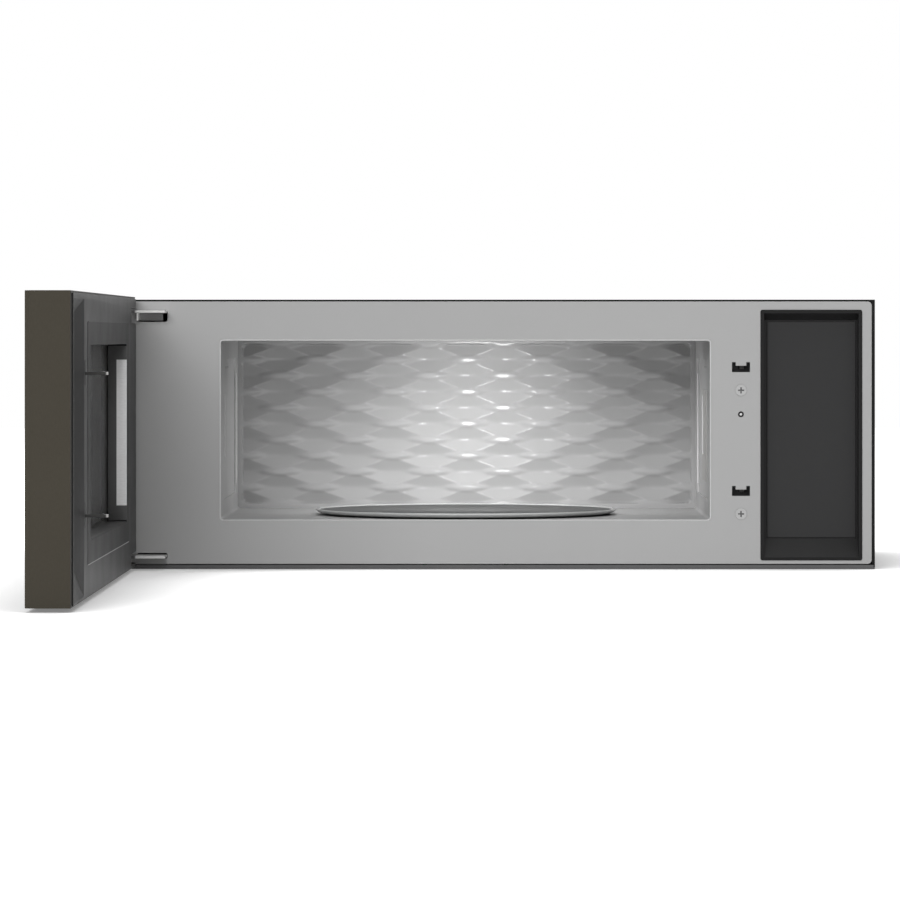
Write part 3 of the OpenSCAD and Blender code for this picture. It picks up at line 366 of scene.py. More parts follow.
galvanised.diffuse_color = (0.5, 0.5, 0.49, 1)
eased_copy("hung_back", "rear_panel", "cabinet", galvanised, 0.0004)
dress(galvanised, "blower_housing", "exhaust_collar", "damper_flap", "cabinet_bolt_rail",
    "waveguide")


# Front plate: pale grey enamelled steel, pierced for the cavity, the recess, the hinge arms
# and the latch hooks. The same enamel covers the welded cavity box behind it.
ENAMEL = (0.345, 0.345, 0.345)
plate_enamel = finish("plate_enamel", ENAMEL, 0.42, cloud=0.035, cloud_scale=3.5, fleck=0.05,
    fleck_scale=1400, spread=0.12, bump=0.06, depth=0.0001, shine=0.3)
eased_copy("pierced_plate", "front_plate", "cabinet", plate_enamel, 0.0004)

cavity_enamel = finish("cavity_enamel", (0.4, 0.4, 0.4), 0.38, cloud=0.05, cloud_scale=9,
    fleck=0.05, fleck_scale=1400, spread=0.14, bump=0.06, depth=0.0001)
eased_copy("welded_cavity", "oven_cavity", "cabinet", cavity_enamel, 0.0003)


# Quilted back wall: a thin sheet pressed into rows of shallow diamond hollows, each with
# softly rounded ridges round it. A plain flat border runs round the pressing.
DIAMOND_W = 0.0785
DIAMOND_H = 0.0336
HOLLOW = 0.0082
RIDGE = 0.28
VALLEY_X, VALLEY_Z = 0.35, 0.16
PAD_X, PAD_Z = 0.24, 0.12
BORDER = 0.0045
CORNER = 0.006
STEP = 0.0012
WALL = 0.0009
TUCKED_IN = 0.001
COLUMNS, ROWS = 330, 190
wall_low, wall_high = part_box("cavity_back_panel")
wall_x0, wall_x1 = wall_low.x + TUCKED_IN, wall_high.x - TUCKED_IN
wall_z0, wall_z1 = wall_low.z + TUCKED_IN, wall_high.z - TUCKED_IN
middle_x, middle_z = (wall_x0 + wall_x1) / 2, (wall_z0 + wall_z1) / 2


def soft(value, width):
    """The size of value with its corner at nought rounded over width."""
    return math.sqrt(value * value + width * width) - width


def hollow_depth(x, z):
    """How deep the pressing is at a place on the back wall."""
    row = math.floor((z - middle_z) / (DIAMOND_H / 2) + 0.5)
    depth, pad = 0.0, 1.0
    for near in (row - 1, row, row + 1):
        shift = 0.5 if near % 2 == 0 else 0.0
        column = math.floor((x - middle_x) / DIAMOND_W - shift + 0.5)
        across = (x - middle_x) / DIAMOND_W - shift - column
        up = (z - middle_z) / DIAMOND_H - near / 2
        inside = 1 - soft(2 * across, VALLEY_X) - soft(2 * up, VALLEY_Z)
        if inside > 0:
            depth = max(depth, soft(inside, RIDGE))
        corner = ((abs(across) - 0.5) / PAD_X) ** 2 + (up / PAD_Z) ** 2
        pad = min(pad, 1 - math.exp(-corner * corner))
    away_x = wall_x1 - middle_x - BORDER - abs(x - middle_x)
    away_z = wall_z1 - middle_z - BORDER - abs(z - middle_z)
    inset = min(away_x, away_z)
    if away_x < CORNER and away_z < CORNER:
        inset = CORNER - math.hypot(CORNER - away_x, CORNER - away_z)
    fade = min(max(inset / STEP, 0), 1)
    return HOLLOW * depth * pad * fade * fade * (3 - 2 * fade)


bpy.ops.object.select_all(action="DESELECT")
bpy.ops.mesh.primitive_grid_add(x_subdivisions=COLUMNS, y_subdivisions=ROWS, size=1)
quilt = bpy.context.object
quilt.name = "quilted_wall"
bpy.ops.object.mode_set(mode="EDIT")
bpy.ops.mesh.select_all(action="SELECT")
bpy.ops.mesh.extrude_region_move(TRANSFORM_OT_translate={"value": (0, 0, 1)})
bpy.ops.mesh.delete(type="FACE")
bpy.ops.mesh.select_mode(type="EDGE")
bpy.ops.mesh.select_non_manifold()
bpy.ops.mesh.edge_face_add()
bpy.ops.object.mode_set(mode="OBJECT")
for point in quilt.data.vertices:
    x = middle_x + point.co.x * (wall_x1 - wall_x0)
    z = middle_z + point.co.y * (wall_z1 - wall_z0)
    in_front = point.co.z < 0.5
    point.co = Vector((x, wall_low.y + (hollow_depth(x, z) if in_front else HOLLOW + WALL), z))
only(quilt)
bpy.ops.object.mode_set(mode="EDIT")
bpy.ops.mesh.select_all(action="SELECT")
bpy.ops.mesh.normals_make_consistent(inside=False)
bpy.ops.object.mode_set(mode="OBJECT")
smooth(50)
quilt_enamel = finish("quilt_enamel", (0.29, 0.29, 0.29), 0.48, cloud=0.05, cloud_scale=9,
    fleck=0.04, fleck_scale=1400, spread=0.1, bump=0.04, depth=0.0001, coat=0.7, shine=0.1)
quilt_enamel.node_tree.nodes["Principled BSDF"].inputs["Coat Roughness"].default_value = 0.06
quilt.data.materials.append(quilt_enamel)
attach(quilt, "cabinet")
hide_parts("cavity_back_panel")


# Rolled rim of the cavity mouth: the plate's edge turns back into the cavity with a small round.
# Its enamel is coloured lighter than the plate's face, a painted highlight along the mouth's edge.
RIM = 0.0011
RIM_Y = -0.4117
MOUTH_R = 0.003
mouth_x0, mouth_x1 = -0.262, 0.219
mouth_z0, mouth_z1 = 0.0472, 0.2245


def round_loop(x0, x1, z0, z1, r, steps):
    """Points round a box with round corners, seen from the room."""
    points = []
    for centre_x, centre_z, start in ((x1 - r, z1 - r, 0), (x0 + r, z1 - r, 90),
                                      (x0 + r, z0 + r, 180), (x1 - r, z0 + r, 270)):
        for step in range(steps + 1):
            turn = math.radians(start + 90 * step / steps)
            points.append((centre_x + r * math.cos(turn), centre_z + r * math.sin(turn)))
    return points


def rod(name, points, radius, closed=False):
    """A bar of round section along points, made as a curve and then a mesh."""
    path = bpy.data.curves.new(name, "CURVE")
    path.dimensions = "3D"
    line = path.splines.new("POLY")
    line.points.add(len(points) - 1)
    for point, place in zip(line.points, points):
        point.co = (*place, 1)
    line.use_cyclic_u = closed
    path.bevel_depth = radius
    path.bevel_resolution = 3
    path.use_fill_caps = not closed
    bar = bpy.data.objects.new(name, path)
    bpy.context.collection.objects.link(bar)
    only(bar)
    bpy.ops.object.convert(target="MESH")
    smooth(60)
    return bpy.context.object


rim_loop = [(x, RIM_Y, z) for x, z in round_loop(mouth_x0 + RIM / 2, mouth_x1 - RIM / 2,
    mouth_z0 + RIM / 2, mouth_z1 - RIM / 2, MOUTH_R, 6)]
rim = rod("cavity_rim", rim_loop, RIM / 2, closed=True)
rim_highlight_enamel = finish("rim_highlight_enamel", (0.55, 0.55, 0.55), 0.5, cloud=0.03, fleck=0.03, spread=0.06)
rim.data.materials.append(rim_highlight_enamel)
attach(rim, "cabinet")


# Beads of the side walls: two upright ribs pressed into each side wall stiffen it. They are
# coloured lighter than the wall, a painted highlight along their crests.
WALL_BEAD_R = 0.0007
WALL_BEADS = ((mouth_x0, -0.310, 0.107, 0.169), (mouth_x0, -0.092, 0.075, 0.189),
    (mouth_x1, -0.224, 0.108, 0.168), (mouth_x1, -0.105, 0.075, 0.189))
crests = [rod("wall_bead", [(x, y, low), (x, y, high)], WALL_BEAD_R)
    for x, y, low, high in WALL_BEADS]
bpy.ops.object.select_all(action="DESELECT")
for crest in crests:
    crest.select_set(True)
bpy.ops.object.join()
beads = bpy.context.object
beads.name = "side_wall_beads"
bead_highlight_enamel = finish("bead_highlight_enamel", (0.6, 0.6, 0.6), 0.3, cloud=0.03, fleck=0.03, spread=0.06)
beads.data.materials.append(bead_highlight_enamel)
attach(beads, "cabinet")


# Control recess: a dark moulded tray let into the plate, fine-textured as moulds leave it,
# with a flat plate in its floor that a narrow groove sets off.
def object_axes(tree):
    """The X, Y and Z of where on the object the surface is."""
    apart = tree.nodes.new("ShaderNodeSeparateXYZ")
    tree.links.new(object_place(tree), apart.inputs[0])
    return apart.outputs


# A share that rises from 0 at one place to 1 at another
CHANGE_INPUTS = [("Place", "NodeSocketFloat", 0.0), ("Start", "NodeSocketFloat", 0.0),
    ("End", "NodeSocketFloat", 1.0)]
CHANGE_OUTPUTS = [("Share", "NodeSocketFloat")]
change, change_in, change_out = surface_group("tone_change", CHANGE_INPUTS, CHANGE_OUTPUTS)
rise = change.nodes.new("ShaderNodeMapRange")
change.links.new(change_in.outputs["Place"], rise.inputs["Value"])
change.links.new(change_in.outputs["Start"], rise.inputs["From Min"])
change.links.new(change_in.outputs["End"], rise.inputs["From Max"])
change.links.new(rise.outputs[0], change_out.inputs["Share"])


def add_change(tree, place, start, end):
    """The share at place, between start and end."""
    node = add_group(tree, change, {"Start": start, "End": end})
    tree.links.new(place, node.inputs["Place"])
    return node.outputs["Share"]


def add_tones(tree, share, first, second):
    """The first colour where share is 0, and the second where it is 1."""
    tones = tree.nodes.new("ShaderNodeMix")
    tones.data_type = "RGBA"
    tones.inputs["A"].default_value = (*first, 1)
    tones.inputs["B"].default_value = (*second, 1)
    tree.links.new(share, tones.inputs["Factor"])
    return tones.outputs["Result"]


def two_tone(name, spans, first, second, gloss, metal):
    """A finish of the first tone that fades to the second over each span from start to end."""
    material = finish(name, second, gloss, cloud=0.08, fleck=0.2, fleck_scale=260, spread=0.12,
        stretch=(1, 7, 7), bump=0.08, depth=0.0001, metal=metal, shine=0.5 if metal else 0.2)
    tree = material.node_tree
    pattern = next(node for node in tree.nodes if node.type == "GROUP")
    axes = object_axes(tree)
    whole = 1.0
    for axis, start, end in spans:
        whole = add_math(tree, "MULTIPLY", whole, add_change(tree, axes[axis], start, end))
    tree.links.new(add_tones(tree, whole, first, second), pattern.inputs["Colour"])
    return material


LIP_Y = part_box("control_recess")[0].y
LIP_DARK, LIP_CLEAR = 0.0006, 0.0012
recess_black = two_tone("recess_black", [("Y", LIP_Y + LIP_DARK, LIP_Y + LIP_CLEAR)],
    (0.0045, 0.0045, 0.0046), (0.011, 0.011, 0.0112), 0.45, 0.0)
eased_copy("recess_tray", "control_recess", "cabinet", recess_black, 0.0006)
plate_black = finish("recess_plate_black", (0.022, 0.022, 0.0225), 0.4, cloud=0.1, fleck=0.25,
    fleck_scale=2600, spread=0.08, bump=0.12, depth=0.0002, shine=0.2)
eased_copy("recess_floor_plate", "recess_plate", "cabinet", plate_black, 0.0005)


# Hinge arms, screws and locating pin: zinc-plated steel, blanked and folded, with the faint
# lines of rolling in them. The cross-recess screws hold the interlock bracket.
# The arms are painted dark at the hinge eye and behind the front plate, as painted shade; elsewhere
# they keep the bright tone of plated steel.
EYE_X, EYE_FADE = -0.3418, 0.0012
PLATE_BACK, PLATE_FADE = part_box("front_plate")[1].y, 0.001
shaded_arm_steel = two_tone("shaded_arm_steel",
    [("X", EYE_X - EYE_FADE, EYE_X), ("Y", PLATE_BACK, PLATE_BACK - PLATE_FADE)],
    (0.13, 0.13, 0.13), (0.67, 0.67, 0.66), 0.36, 0.6)
eased_copy("top_hinge_arm", "upper_hinge_arm", "cabinet", shaded_arm_steel, 0.0004)
eased_copy("low_hinge_arm", "lower_hinge_arm", "cabinet", shaded_arm_steel, 0.0004)

# The screw heads are painted dark wherever they lie deeper than their face, in the cross and round
# the rim, as painted shade.
SCREW_FACE_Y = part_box("front_screws")[0].y
CROSS_DARK, CROSS_CLEAR = 0.0003, 0.0001
shaded_screw_steel = two_tone("shaded_screw_steel",
    [("Y", SCREW_FACE_Y + CROSS_DARK, SCREW_FACE_Y + CROSS_CLEAR)],
    (0.09, 0.09, 0.09), (0.37, 0.37, 0.37), 0.4, 0.2)
eased_copy("cross_screws", "front_screws", "cabinet", shaded_screw_steel, 0.0004)
# The pin is painted near black behind its tip, a painted shade for the hole it stands in.
PIN_TIP, PIN_FADE = 0.0004, 0.0002
PIN_TIP_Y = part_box("front_locating_pin")[0].y + PIN_TIP
shaded_pin_steel = two_tone("shaded_pin_steel", [("Y", PIN_TIP_Y + PIN_FADE, PIN_TIP_Y)],
    (0.012, 0.012, 0.012), (0.6, 0.6, 0.6), 0.4, 0.2)
eased_copy("locating_pin", "front_locating_pin", "cabinet", shaded_pin_steel, 0.0003)
bright_steel = finish("bright_steel", (0.5, 0.5, 0.49), 0.35, cloud=0.08, fleck=0.25,
    fleck_scale=260, spread=0.12, stretch=(1, 7, 7), bump=0.08, depth=0.0001, metal=0.9)
dress(bright_steel, "hinge_pins", "latch_spring")

# The hooks are painted dark along their length, as painted shade, and keep the steel's own tone
# only near each tip.
HOOK_END_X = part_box("latch_slider")[1].x
HOOK_SHADE, HOOK_UNSHADED = 0.0022, 0.0012
shaded_hook_steel = two_tone("shaded_hook_steel", [("X", HOOK_END_X - HOOK_SHADE, HOOK_END_X - HOOK_UNSHADED)],
    (0.035, 0.035, 0.034), (0.4, 0.4, 0.39), 0.4, 0.4)
eased_copy("latch_hooks", "latch_slider", "latch", shaded_hook_steel, 0.0003)


# Turntable: pressed clear glass with a rolled rim and rings under its floor, on a moulded
# hoop with three wheels. A lobed coupler turns it by the lugs underneath.
TRAY_X, TRAY_Y = -0.0215, -0.232
TRAY_SIDES = 128
TRAY_FLOOR = 0.0040
RINGS, RING_START, RING_PITCH = 4, 0.034, 0.029
RING_FOOT, RING_CREST, RING_RISE = 0.0022, 0.0012, 0.0006
tray_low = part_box("glass_tray")[0]


def turned(name, x, y, profile, sides):
    """A closed round piece that is drawn out ring by ring from a disc along its profile."""
    bpy.ops.object.select_all(action="DESELECT")
    radius, height = profile[0]
    bpy.ops.mesh.primitive_circle_add(vertices=sides, radius=radius, fill_type="NGON",
        location=(x, y, height))
    piece = bpy.context.object
    piece.name = name
    bpy.ops.object.transform_apply(location=True, rotation=True, scale=True)
    bpy.ops.object.mode_set(mode="EDIT")
    bpy.ops.mesh.select_mode(type="FACE")
    bpy.ops.mesh.select_all(action="SELECT")
    for next_radius, next_height in profile[1:]:
        bpy.ops.mesh.extrude_region_move()
        grow = next_radius / radius
        bpy.ops.transform.resize(value=(grow, grow, 1), center_override=(x, y, height))
        bpy.ops.transform.translate(value=(0, 0, next_height - height))
        radius, height = next_radius, next_height
    bpy.ops.mesh.select_all(action="SELECT")
    bpy.ops.mesh.normals_make_consistent(inside=False)
    bpy.ops.object.mode_set(mode="OBJECT")
    smooth(38)
    return piece


def tray_profile():
    """Half the tray's section, from the middle of its underside round the rim and back."""
    low = tray_low.z + TRAY_FLOOR
    under = [(0.004, low)]
    for ring in range(RINGS):
        middle = RING_START + RING_PITCH * ring
        under += [(middle - RING_FOOT, low), (middle - RING_CREST, low + RING_RISE),
            (middle + RING_CREST, low + RING_RISE), (middle + RING_FOOT, low)]
    under += [(0.1385, low), (0.1440, low + 0.0012), (0.1495, low + 0.0033)]
    rim_part = [(0.1515, low + 0.0044), (0.1525, low + 0.0056), (0.1523, low + 0.0065),
        (0.1513, low + 0.0068), (0.1500, low + 0.0066)]
    top = [(0.1470, low + 0.0056), (0.1400, low + 0.0044), (0.1365, low + 0.0042),
        (0.0900, low + 0.0042), (0.0892, low + 0.0039), (0.0880, low + 0.0039),
        (0.0872, low + 0.0042), (0.0040, low + 0.0042)]
    return under + rim_part + top


TRAY_RIM_FROM, TRAY_RIM_TO = 0.147, 0.149
tray = turned("turntable_tray", TRAY_X, TRAY_Y, tray_profile(), TRAY_SIDES)
tray_glass, tree, shader = blank_finish("tray_glass")
shader.inputs["Transmission Weight"].default_value = 0.35
shader.inputs["IOR"].default_value = 1.35
axes = object_axes(tree)
squares = []
for axis, centre in (("X", TRAY_X), ("Y", TRAY_Y)):
    off = add_math(tree, "SUBTRACT", axes[axis], centre)
    squares.append(add_math(tree, "MULTIPLY", off, off))
# The share that gives the rim its coat also colours the rim near white, a painted highlight, over a
# dark grey dish.
gloss_and_highlight = add_change(tree, add_math(tree, "ADD", *squares), TRAY_RIM_FROM ** 2, TRAY_RIM_TO ** 2)
tree.links.new(gloss_and_highlight, shader.inputs["Coat Weight"])
tones = add_tones(tree, gloss_and_highlight, (0.09, 0.092, 0.091), (0.82, 0.83, 0.825))
smear = add_group(tree, grain, {"Cloud": 0.05, "Fleck": 0.02, "Gloss": 0.45, "Gloss spread": 0.04})
tree.links.new(tones, smear.inputs["Colour"])
tree.links.new(smear.outputs["Colour"], shader.inputs["Base Color"])
tree.links.new(smear.outputs["Roughness"], shader.inputs["Roughness"])
tray_glass.diffuse_color = (0.8, 0.84, 0.83, 1)
tray.data.materials.append(tray_glass)
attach(tray, "turntable")
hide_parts("glass_tray")


def eased_block(name, centre, size, radius, steps):
    """A block with its edges rounded off."""
    bpy.ops.object.select_all(action="DESELECT")
    bpy.ops.mesh.primitive_cube_add(size=1, location=centre)
    piece = bpy.context.object
    piece.name = name
    piece.scale = size
    bpy.ops.object.transform_apply(location=True, rotation=True, scale=True)
    bpy.ops.object.mode_set(mode="EDIT")
    bpy.ops.mesh.bevel(offset=radius, segments=steps)
    bpy.ops.object.mode_set(mode="OBJECT")
    smooth(38)
    return piece


LUG_AT = 0.021
LUG = (0.006, 0.008, 0.0044)
lugs = eased_block("tray_lugs", (TRAY_X + LUG_AT, TRAY_Y, tray_low.z + LUG[2] / 2), LUG, 0.0008, 3)
bpy.ops.object.mode_set(mode="EDIT")
bpy.ops.mesh.select_all(action="SELECT")
bpy.ops.transform.rotate(value=-math.radians(60), orient_axis="Z",
    center_override=(TRAY_X, TRAY_Y, 0))
for lug in range(2):
    bpy.ops.mesh.duplicate()
    bpy.ops.transform.rotate(value=-math.radians(120), orient_axis="Z",
        center_override=(TRAY_X, TRAY_Y, 0))
bpy.ops.object.mode_set(mode="OBJECT")
smooth(38)
lugs.data.materials.append(tray_glass)
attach(lugs, "turntable")

cream_moulding = finish("cream_moulding", (0.62, 0.58, 0.48), 0.45, cloud=0.05, fleck=0.1,
    bump=0.08, depth=0.0002)
dress(cream_moulding, "drive_coupler", "roller_ring", "roller_wheel_1", "roller_wheel_2",
    "roller_wheel_3")
plunger_grey = finish("plunger_grey", (0.16, 0.16, 0.16), 0.45, cloud=0.05, fleck=0.1, bump=0.08)
dress(plunger_grey, "upper_plunger", "middle_plunger", "lower_plunger")


# Door skin: a folded tray of dark brownish stainless steel round the door's edges. Its free
# end is brushed upwards, and a thin dark seam shows where the inner cover meets it.
dark_stainless = finish("dark_stainless", (0.042, 0.037, 0.028), 0.42, cloud=0.08, fleck=0.22,
    fleck_scale=900, spread=0.1, stretch=(1, 1, 0.3), bump=0.06, depth=0.0001, metal=0.5, shine=0.2)
eased_copy("folded_skin", "door_skin", "door", dark_stainless, 0.0006)

SKIN_END_Y, SKIN_Z0, SKIN_Z1 = -1.1856, 0.0032, 0.2660
BEAD = 0.0006
BEAD_X = -0.3440
BEND = 0.0012
CUT = 0.3 * BEND
bead_y0, bead_y1 = SKIN_END_Y + BEAD, -0.4300
bead_z0, bead_z1 = SKIN_Z0 + BEAD, SKIN_Z1 - BEAD
bead_path = [(bead_y1, bead_z1), (bead_y0 + BEND, bead_z1), (bead_y0 + CUT, bead_z1 - CUT),
    (bead_y0, bead_z1 - BEND), (bead_y0, bead_z0 + BEND), (bead_y0 + CUT, bead_z0 + CUT),
    (bead_y0 + BEND, bead_z0), (bead_y1, bead_z0)]
bead = rod("skin_edge_bead", [(BEAD_X, y, z) for y, z in bead_path], BEAD)
# This black colours the door's dark seam here, and later strips of painted shade in the window.
seam_and_shade_black = finish("seam_and_shade_black", (0.008, 0.008, 0.008), 0.55, cloud=0.1, fleck=0.2)
bead.data.materials.append(seam_and_shade_black)
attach(bead, "door")


# Outer glass: one smoked pane over the door's whole front, printed black behind except at
# the window, where the punched screen just shows through it.
WINDOW_Y = (-0.999, -0.564)
WINDOW_Z = (0.0519, 0.2203)
THIN_PRINT = 0.45


def inside_range(tree, value, low, high):
    """1 where value lies between low and high, and 0 elsewhere."""
    above = add_math(tree, "GREATER_THAN", value, low)
    below = add_math(tree, "LESS_THAN", value, high)
    return add_math(tree, "MULTIPLY", above, below)


smoked_glass, tree, shader = blank_finish("smoked_glass")
axes = object_axes(tree)
window = add_math(tree, "MULTIPLY", inside_range(tree, axes["Y"], *WINDOW_Y),
    inside_range(tree, axes["Z"], *WINDOW_Z))
cover = add_math(tree, "SUBTRACT", 1.0, add_math(tree, "MULTIPLY", window, THIN_PRINT))
smear = add_group(tree, grain, {"Colour": (0.008, 0.0078, 0.0075, 1), "Cloud": 0.1, "Fleck": 0.05,
    "Gloss": 0.07, "Gloss spread": 0.06})
tree.links.new(smear.outputs["Colour"], shader.inputs["Base Color"])
tree.links.new(smear.outputs["Roughness"], shader.inputs["Roughness"])
tree.links.new(cover, shader.inputs["Alpha"])
shader.inputs["Coat Weight"].default_value = 0.5
smoked_glass.diffuse_color = (0.02, 0.02, 0.02, 1)
glass = eased_copy("outer_glass", "door_glass", "door", smoked_glass, 0.0008)

TRIM = 0.0004
MAKE_ROOM = 2.5 * TRIM
FACING = 0.9
glass_low, glass_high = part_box("door_glass")
glass_middle = (glass_low + glass_high) / 2
only(glass)
bpy.ops.object.mode_set(mode="EDIT")
bpy.ops.mesh.select_all(action="SELECT")
bpy.ops.transform.resize(value=(1, 1 - MAKE_ROOM / (glass_high.y - glass_low.y),
    1 - MAKE_ROOM / (glass_high.z - glass_low.z)), center_override=glass_middle)
bpy.ops.object.mode_set(mode="OBJECT")

trim = bpy.data.objects.new("glass_edge_trim", nodes["door_glass"].data.copy())
bpy.context.collection.objects.link(trim)
only(trim)
bpy.ops.object.mode_set(mode="EDIT")
bpy.ops.mesh.select_all(action="SELECT")
bpy.ops.mesh.remove_doubles(threshold=MERGE)
bpy.ops.mesh.select_all(action="DESELECT")
bpy.ops.object.mode_set(mode="OBJECT")
for face in trim.data.polygons:
    face.select = abs(face.normal.x) > FACING
bpy.ops.object.mode_set(mode="EDIT")
bpy.ops.mesh.select_mode(type="FACE")
bpy.ops.mesh.delete(type="FACE")
bpy.ops.object.mode_set(mode="OBJECT")
band = trim.modifiers.new("band", "SOLIDIFY")
band.thickness = TRIM
band.offset = -1
apply_all(trim)
smooth(35)
trim.data.materials.clear()
trim.data.materials.append(dark_stainless)
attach(trim, "door")


# Inner cover and choke panel: dark grey mouldings and painted steel on the door's inside.
# The cover is dished behind the controls, and the choke panel frames the window.
cover_grey = finish("cover_grey", (0.018, 0.018, 0.018), 0.45, cloud=0.1, fleck=0.25,
    fleck_scale=2400, spread=0.12, bump=0.15, depth=0.0002, shine=0.2)
eased_copy("moulded_cover", "inner_cover", "door", cover_grey, 0.0006)
choke_paint = finish("choke_paint", (0.004, 0.004, 0.004), 0.5, cloud=0.1, fleck=0.15,
    spread=0.12, bump=0.08, shine=0.2)
eased_copy("framed_choke", "choke_panel", "door", choke_paint, 0.0006)


# Steel jamb on the hinge side of the window: a folded strip lines the choke's inner wall. Its outer
# band is coloured near white, a painted reflection, and its deeper side and ends are painted shade.
JAMB_T = 0.0004
JAMB_Y = -0.5641
STRIP_EASE = 0.00015
JAMB_GAP = 0.0004
LIT_BAND = 0.0096
LIT_BAND_Z = (0.0677, 0.2053)
FADE_X, FADE_Z = 0.0002, 0.0006
choke_low, choke_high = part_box("choke_panel")
jamb_x0, jamb_x1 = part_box("window_screen")[1].x + JAMB_GAP, choke_high.x
jamb_z0, jamb_z1 = 0.0535, 0.2187
jamb = eased_block("window_jamb",
    ((jamb_x0 + jamb_x1) / 2, JAMB_Y - JAMB_T / 2, (jamb_z0 + jamb_z1) / 2),
    (jamb_x1 - jamb_x0, JAMB_T, jamb_z1 - jamb_z0), STRIP_EASE, 2)
jamb_painted_light = two_tone("jamb_painted_light", [("X", jamb_x1 - LIT_BAND - FADE_X, jamb_x1 - LIT_BAND),
    ("Z", LIT_BAND_Z[0] - FADE_Z, LIT_BAND_Z[0]), ("Z", LIT_BAND_Z[1] + FADE_Z, LIT_BAND_Z[1])],
    (0.105, 0.105, 0.105), (0.94, 0.94, 0.94), 0.35, 0.0)
jamb.data.materials.append(jamb_painted_light)
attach(jamb, "door")


# Window sill and choke edges: a thin black strip along the bottom of the window's recess is painted
# shade, a black rod over the choke panel's upper edge is painted shade, and a pale rod along its
# lower edge is a painted highlight.
SILL_T = 0.0005
SILL_DEPTH = 0.025
SILL_BACK = 0.0134
LIP_R = 0.00035
LIP_SHORT = 0.002
sill = eased_block("window_sill_shade", (choke_high.x - SILL_BACK,
    (WINDOW_Y[0] + WINDOW_Y[1]) / 2, WINDOW_Z[0] + SILL_T / 2),
    (SILL_DEPTH, WINDOW_Y[1] - WINDOW_Y[0] - 2 * LIP_SHORT, SILL_T), STRIP_EASE, 2)
sill.data.materials.append(seam_and_shade_black)
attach(sill, "door")

lip_highlight_steel = finish("lip_highlight_steel", (0.4, 0.4, 0.4), 0.45, cloud=0.06, fleck=0.08)
# The top rod is painted shade and the lower rod a painted highlight; the slot names are not used.
for name, z, finish_of, slot in (("choke_top_shade", choke_high.z, seam_and_shade_black, "black_rubber"),
                                 ("choke_lower_highlight", choke_low.z, lip_highlight_steel, "pressed_steel")):
    line = rod(name, [(choke_high.x, choke_low.y + LIP_SHORT, z),
        (choke_high.x, choke_high.y - LIP_SHORT, z)], LIP_R)
    line.data.materials.append(finish_of)
    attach(line, "door")


# Screen and pane in the window: a black sheet punched with staggered round holes too small
# for microwaves, and a clear pane between it and the outer glass.
HOLE_PITCH = 0.0022
HOLE_SHARE = 0.3


def dots(tree, across, up, shift):
    """1 within round dots in a square grid, moved half a pitch both ways where shift is 0.5."""
    parts = []
    for value in (across, up):
        cell = add_math(tree, "FRACT", add_math(tree, "ADD",
            add_math(tree, "DIVIDE", value, HOLE_PITCH), shift), 0.0)
        off = add_math(tree, "SUBTRACT", cell, 0.5)
        parts.append(add_math(tree, "MULTIPLY", off, off))
    return add_math(tree, "LESS_THAN", add_math(tree, "ADD", *parts), HOLE_SHARE ** 2)


screen_black, tree, shader = blank_finish("screen_black")
axes = object_axes(tree)
holes = add_math(tree, "MAXIMUM", dots(tree, axes["Y"], axes["Z"], 10.0),
    dots(tree, axes["Y"], axes["Z"], 10.5))
paint = add_group(tree, grain, {"Colour": (0.02, 0.02, 0.02, 1)})
tree.links.new(paint.outputs["Colour"], shader.inputs["Base Color"])
tree.links.new(paint.outputs["Roughness"], shader.inputs["Roughness"])
tree.links.new(add_math(tree, "SUBTRACT", 1.0, holes), shader.inputs["Alpha"])
dress(screen_black, "window_screen")

pane_glass, tree, shader = blank_finish("pane_glass")
shader.inputs["Transmission Weight"].default_value = 1
smear = add_group(tree, grain, {"Colour": (0.8, 0.82, 0.82, 1), "Gloss": 0.05,
    "Gloss spread": 0.05})
tree.links.new(smear.outputs["Colour"], shader.inputs["Base Color"])
tree.links.new(smear.outputs["Roughness"], shader.inputs["Roughness"])
dress(pane_glass, "window_pane", "cooktop_lens")


# Parts inside the door: the pressed frame with its hinge lugs, the channel of the latch, the
# control board with its chips, and the display behind the glass.
pressed_steel = finish("pressed_steel", (0.42, 0.42, 0.41), 0.35, cloud=0.1, fleck=0.2,
    fleck_scale=400, spread=0.12, stretch=(1, 5, 5), bump=0.08, metal=0.9)
dress(pressed_steel, "door_frame")
dark_moulding = finish("dark_moulding", (0.035, 0.035, 0.037), 0.5, cloud=0.1, fleck=0.3,
    fleck_scale=1800, bump=0.15, depth=0.0002)
dress(dark_moulding, "latch_guide", "interlock_bracket", "cooling_fan_motor", "blower_motor",
    "blower_wheels")
display_black = finish("display_black", (0.006, 0.007, 0.009), 0.12, cloud=0.2, fleck=0.1,
    spread=0.05)
dress(display_black, "display_module")


# Circuit boards: green lacquer over copper tracks that run along and across the board, with
# paler pads where they meet.
circuit_board, tree, shader = blank_finish("circuit_board")
tracks = tree.nodes.new("ShaderNodeTexBrick")
tracks.inputs["Scale"].default_value = 34
tracks.inputs["Color1"].default_value = (0.012, 0.085, 0.03, 1)
tracks.inputs["Color2"].default_value = (0.02, 0.13, 0.045, 1)
tracks.inputs["Mortar"].default_value = (0.05, 0.2, 0.07, 1)
tracks.inputs["Mortar Size"].default_value = 0.035
along_board = tree.nodes.new("ShaderNodeMapping")
along_board.inputs["Rotation"].default_value = (0, math.radians(90), 0)
tree.links.new(object_place(tree), along_board.inputs["Vector"])
tree.links.new(along_board.outputs["Vector"], tracks.inputs["Vector"])
lacquer = add_group(tree, grain, {"Gloss": 0.25})
tree.links.new(tracks.outputs["Color"], lacquer.inputs["Colour"])
tree.links.new(lacquer.outputs["Colour"], shader.inputs["Base Color"])
tree.links.new(lacquer.outputs["Roughness"], shader.inputs["Roughness"])
dress(circuit_board, "power_board", "control_board", "cooktop_light_board")


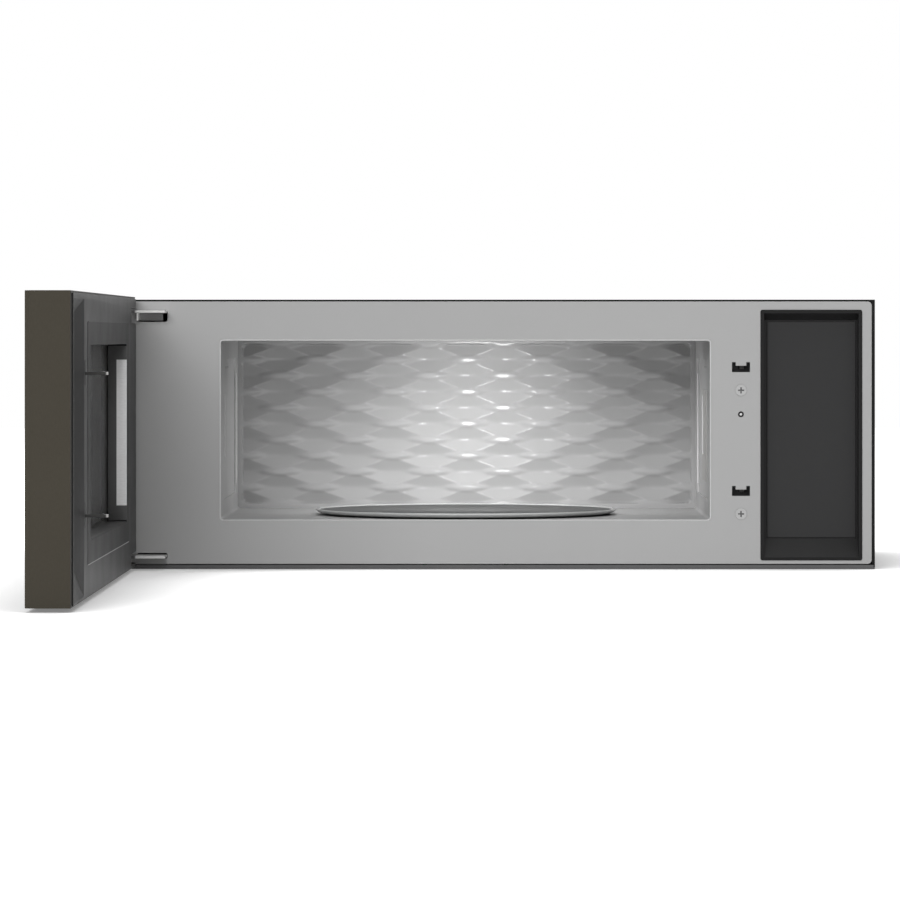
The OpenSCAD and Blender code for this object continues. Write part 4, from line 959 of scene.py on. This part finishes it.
# Washable filters: layers of expanded aluminium foil pressed into a frame, which show as a
# fine net of slanting strands.
filter_mesh, tree, shader = blank_finish("filter_mesh")
shader.inputs["Metallic"].default_value = 0.9
cells = tree.nodes.new("ShaderNodeTexVoronoi")
cells.feature = "DISTANCE_TO_EDGE"
cells.inputs["Scale"].default_value = 210
squeezed = tree.nodes.new("ShaderNodeMapping")
squeezed.inputs["Scale"].default_value = (0.55, 1, 1)
squeezed.inputs["Rotation"].default_value = (0, 0, math.radians(24))
tree.links.new(object_place(tree), squeezed.inputs["Vector"])
tree.links.new(squeezed.outputs["Vector"], cells.inputs["Vector"])
strand = tree.nodes.new("ShaderNodeMapRange")
strand.inputs["From Min"].default_value = 0.06
strand.inputs["From Max"].default_value = 0.22
strand.inputs["To Min"].default_value = 1.0
strand.inputs["To Max"].default_value = 0.12
tree.links.new(cells.outputs["Distance"], strand.inputs["Value"])
foil = add_group(tree, grain, {"Colour": (0.55, 0.55, 0.54, 1)})
shade = scale_colour(tree, foil.outputs["Colour"], strand.outputs[0])
tree.links.new(shade, shader.inputs["Base Color"])
tree.links.new(foil.outputs["Roughness"], shader.inputs["Roughness"])
add_bump(tree, shader, strand.outputs[0], 0.7, 0.0008)
dress(filter_mesh, "left_grease_filter", "right_grease_filter")


# Works inside the case: each part in the finish of its real material, from the plated
# magnetron to the rubber bush.
plated_steel = finish("plated_steel", (0.5, 0.5, 0.5), 0.35, cloud=0.1, fleck=0.2, spread=0.1,
    bump=0.08, metal=0.9)
dress(plated_steel, "magnetron", "high_voltage_capacitor", "turntable_motor")
core_iron = finish("core_iron", (0.2, 0.13, 0.07), 0.4, cloud=0.2, fleck=0.6, fleck_scale=300,
    stretch=(6, 0.3, 0.3), bump=0.3, metal=0.5)
dress(core_iron, "high_voltage_transformer")
fan_moulding = finish("fan_moulding", (0.55, 0.55, 0.52), 0.4, cloud=0.06, fleck=0.1)
dress(fan_moulding, "cooling_fan_blade")
mica = finish("mica", (0.4, 0.395, 0.385), 0.45, cloud=0.25, cloud_scale=60, fleck=0.4,
    fleck_scale=500)
dress(mica, "waveguide_cover")
switch_red = finish("switch_red", (0.42, 0.035, 0.025), 0.4, cloud=0.08, fleck=0.1)
dress(switch_red, "interlock_switches")
lamp_glass = finish("lamp_glass", (0.75, 0.72, 0.6), 0.25, cloud=0.08, fleck=0.05)
dress(lamp_glass, "cavity_lamp")
black_rubber = finish("black_rubber", (0.016, 0.016, 0.016), 0.6, cloud=0.2, fleck=0.4,
    fleck_scale=1500, bump=0.3)
dress(black_rubber, "cord_gland")
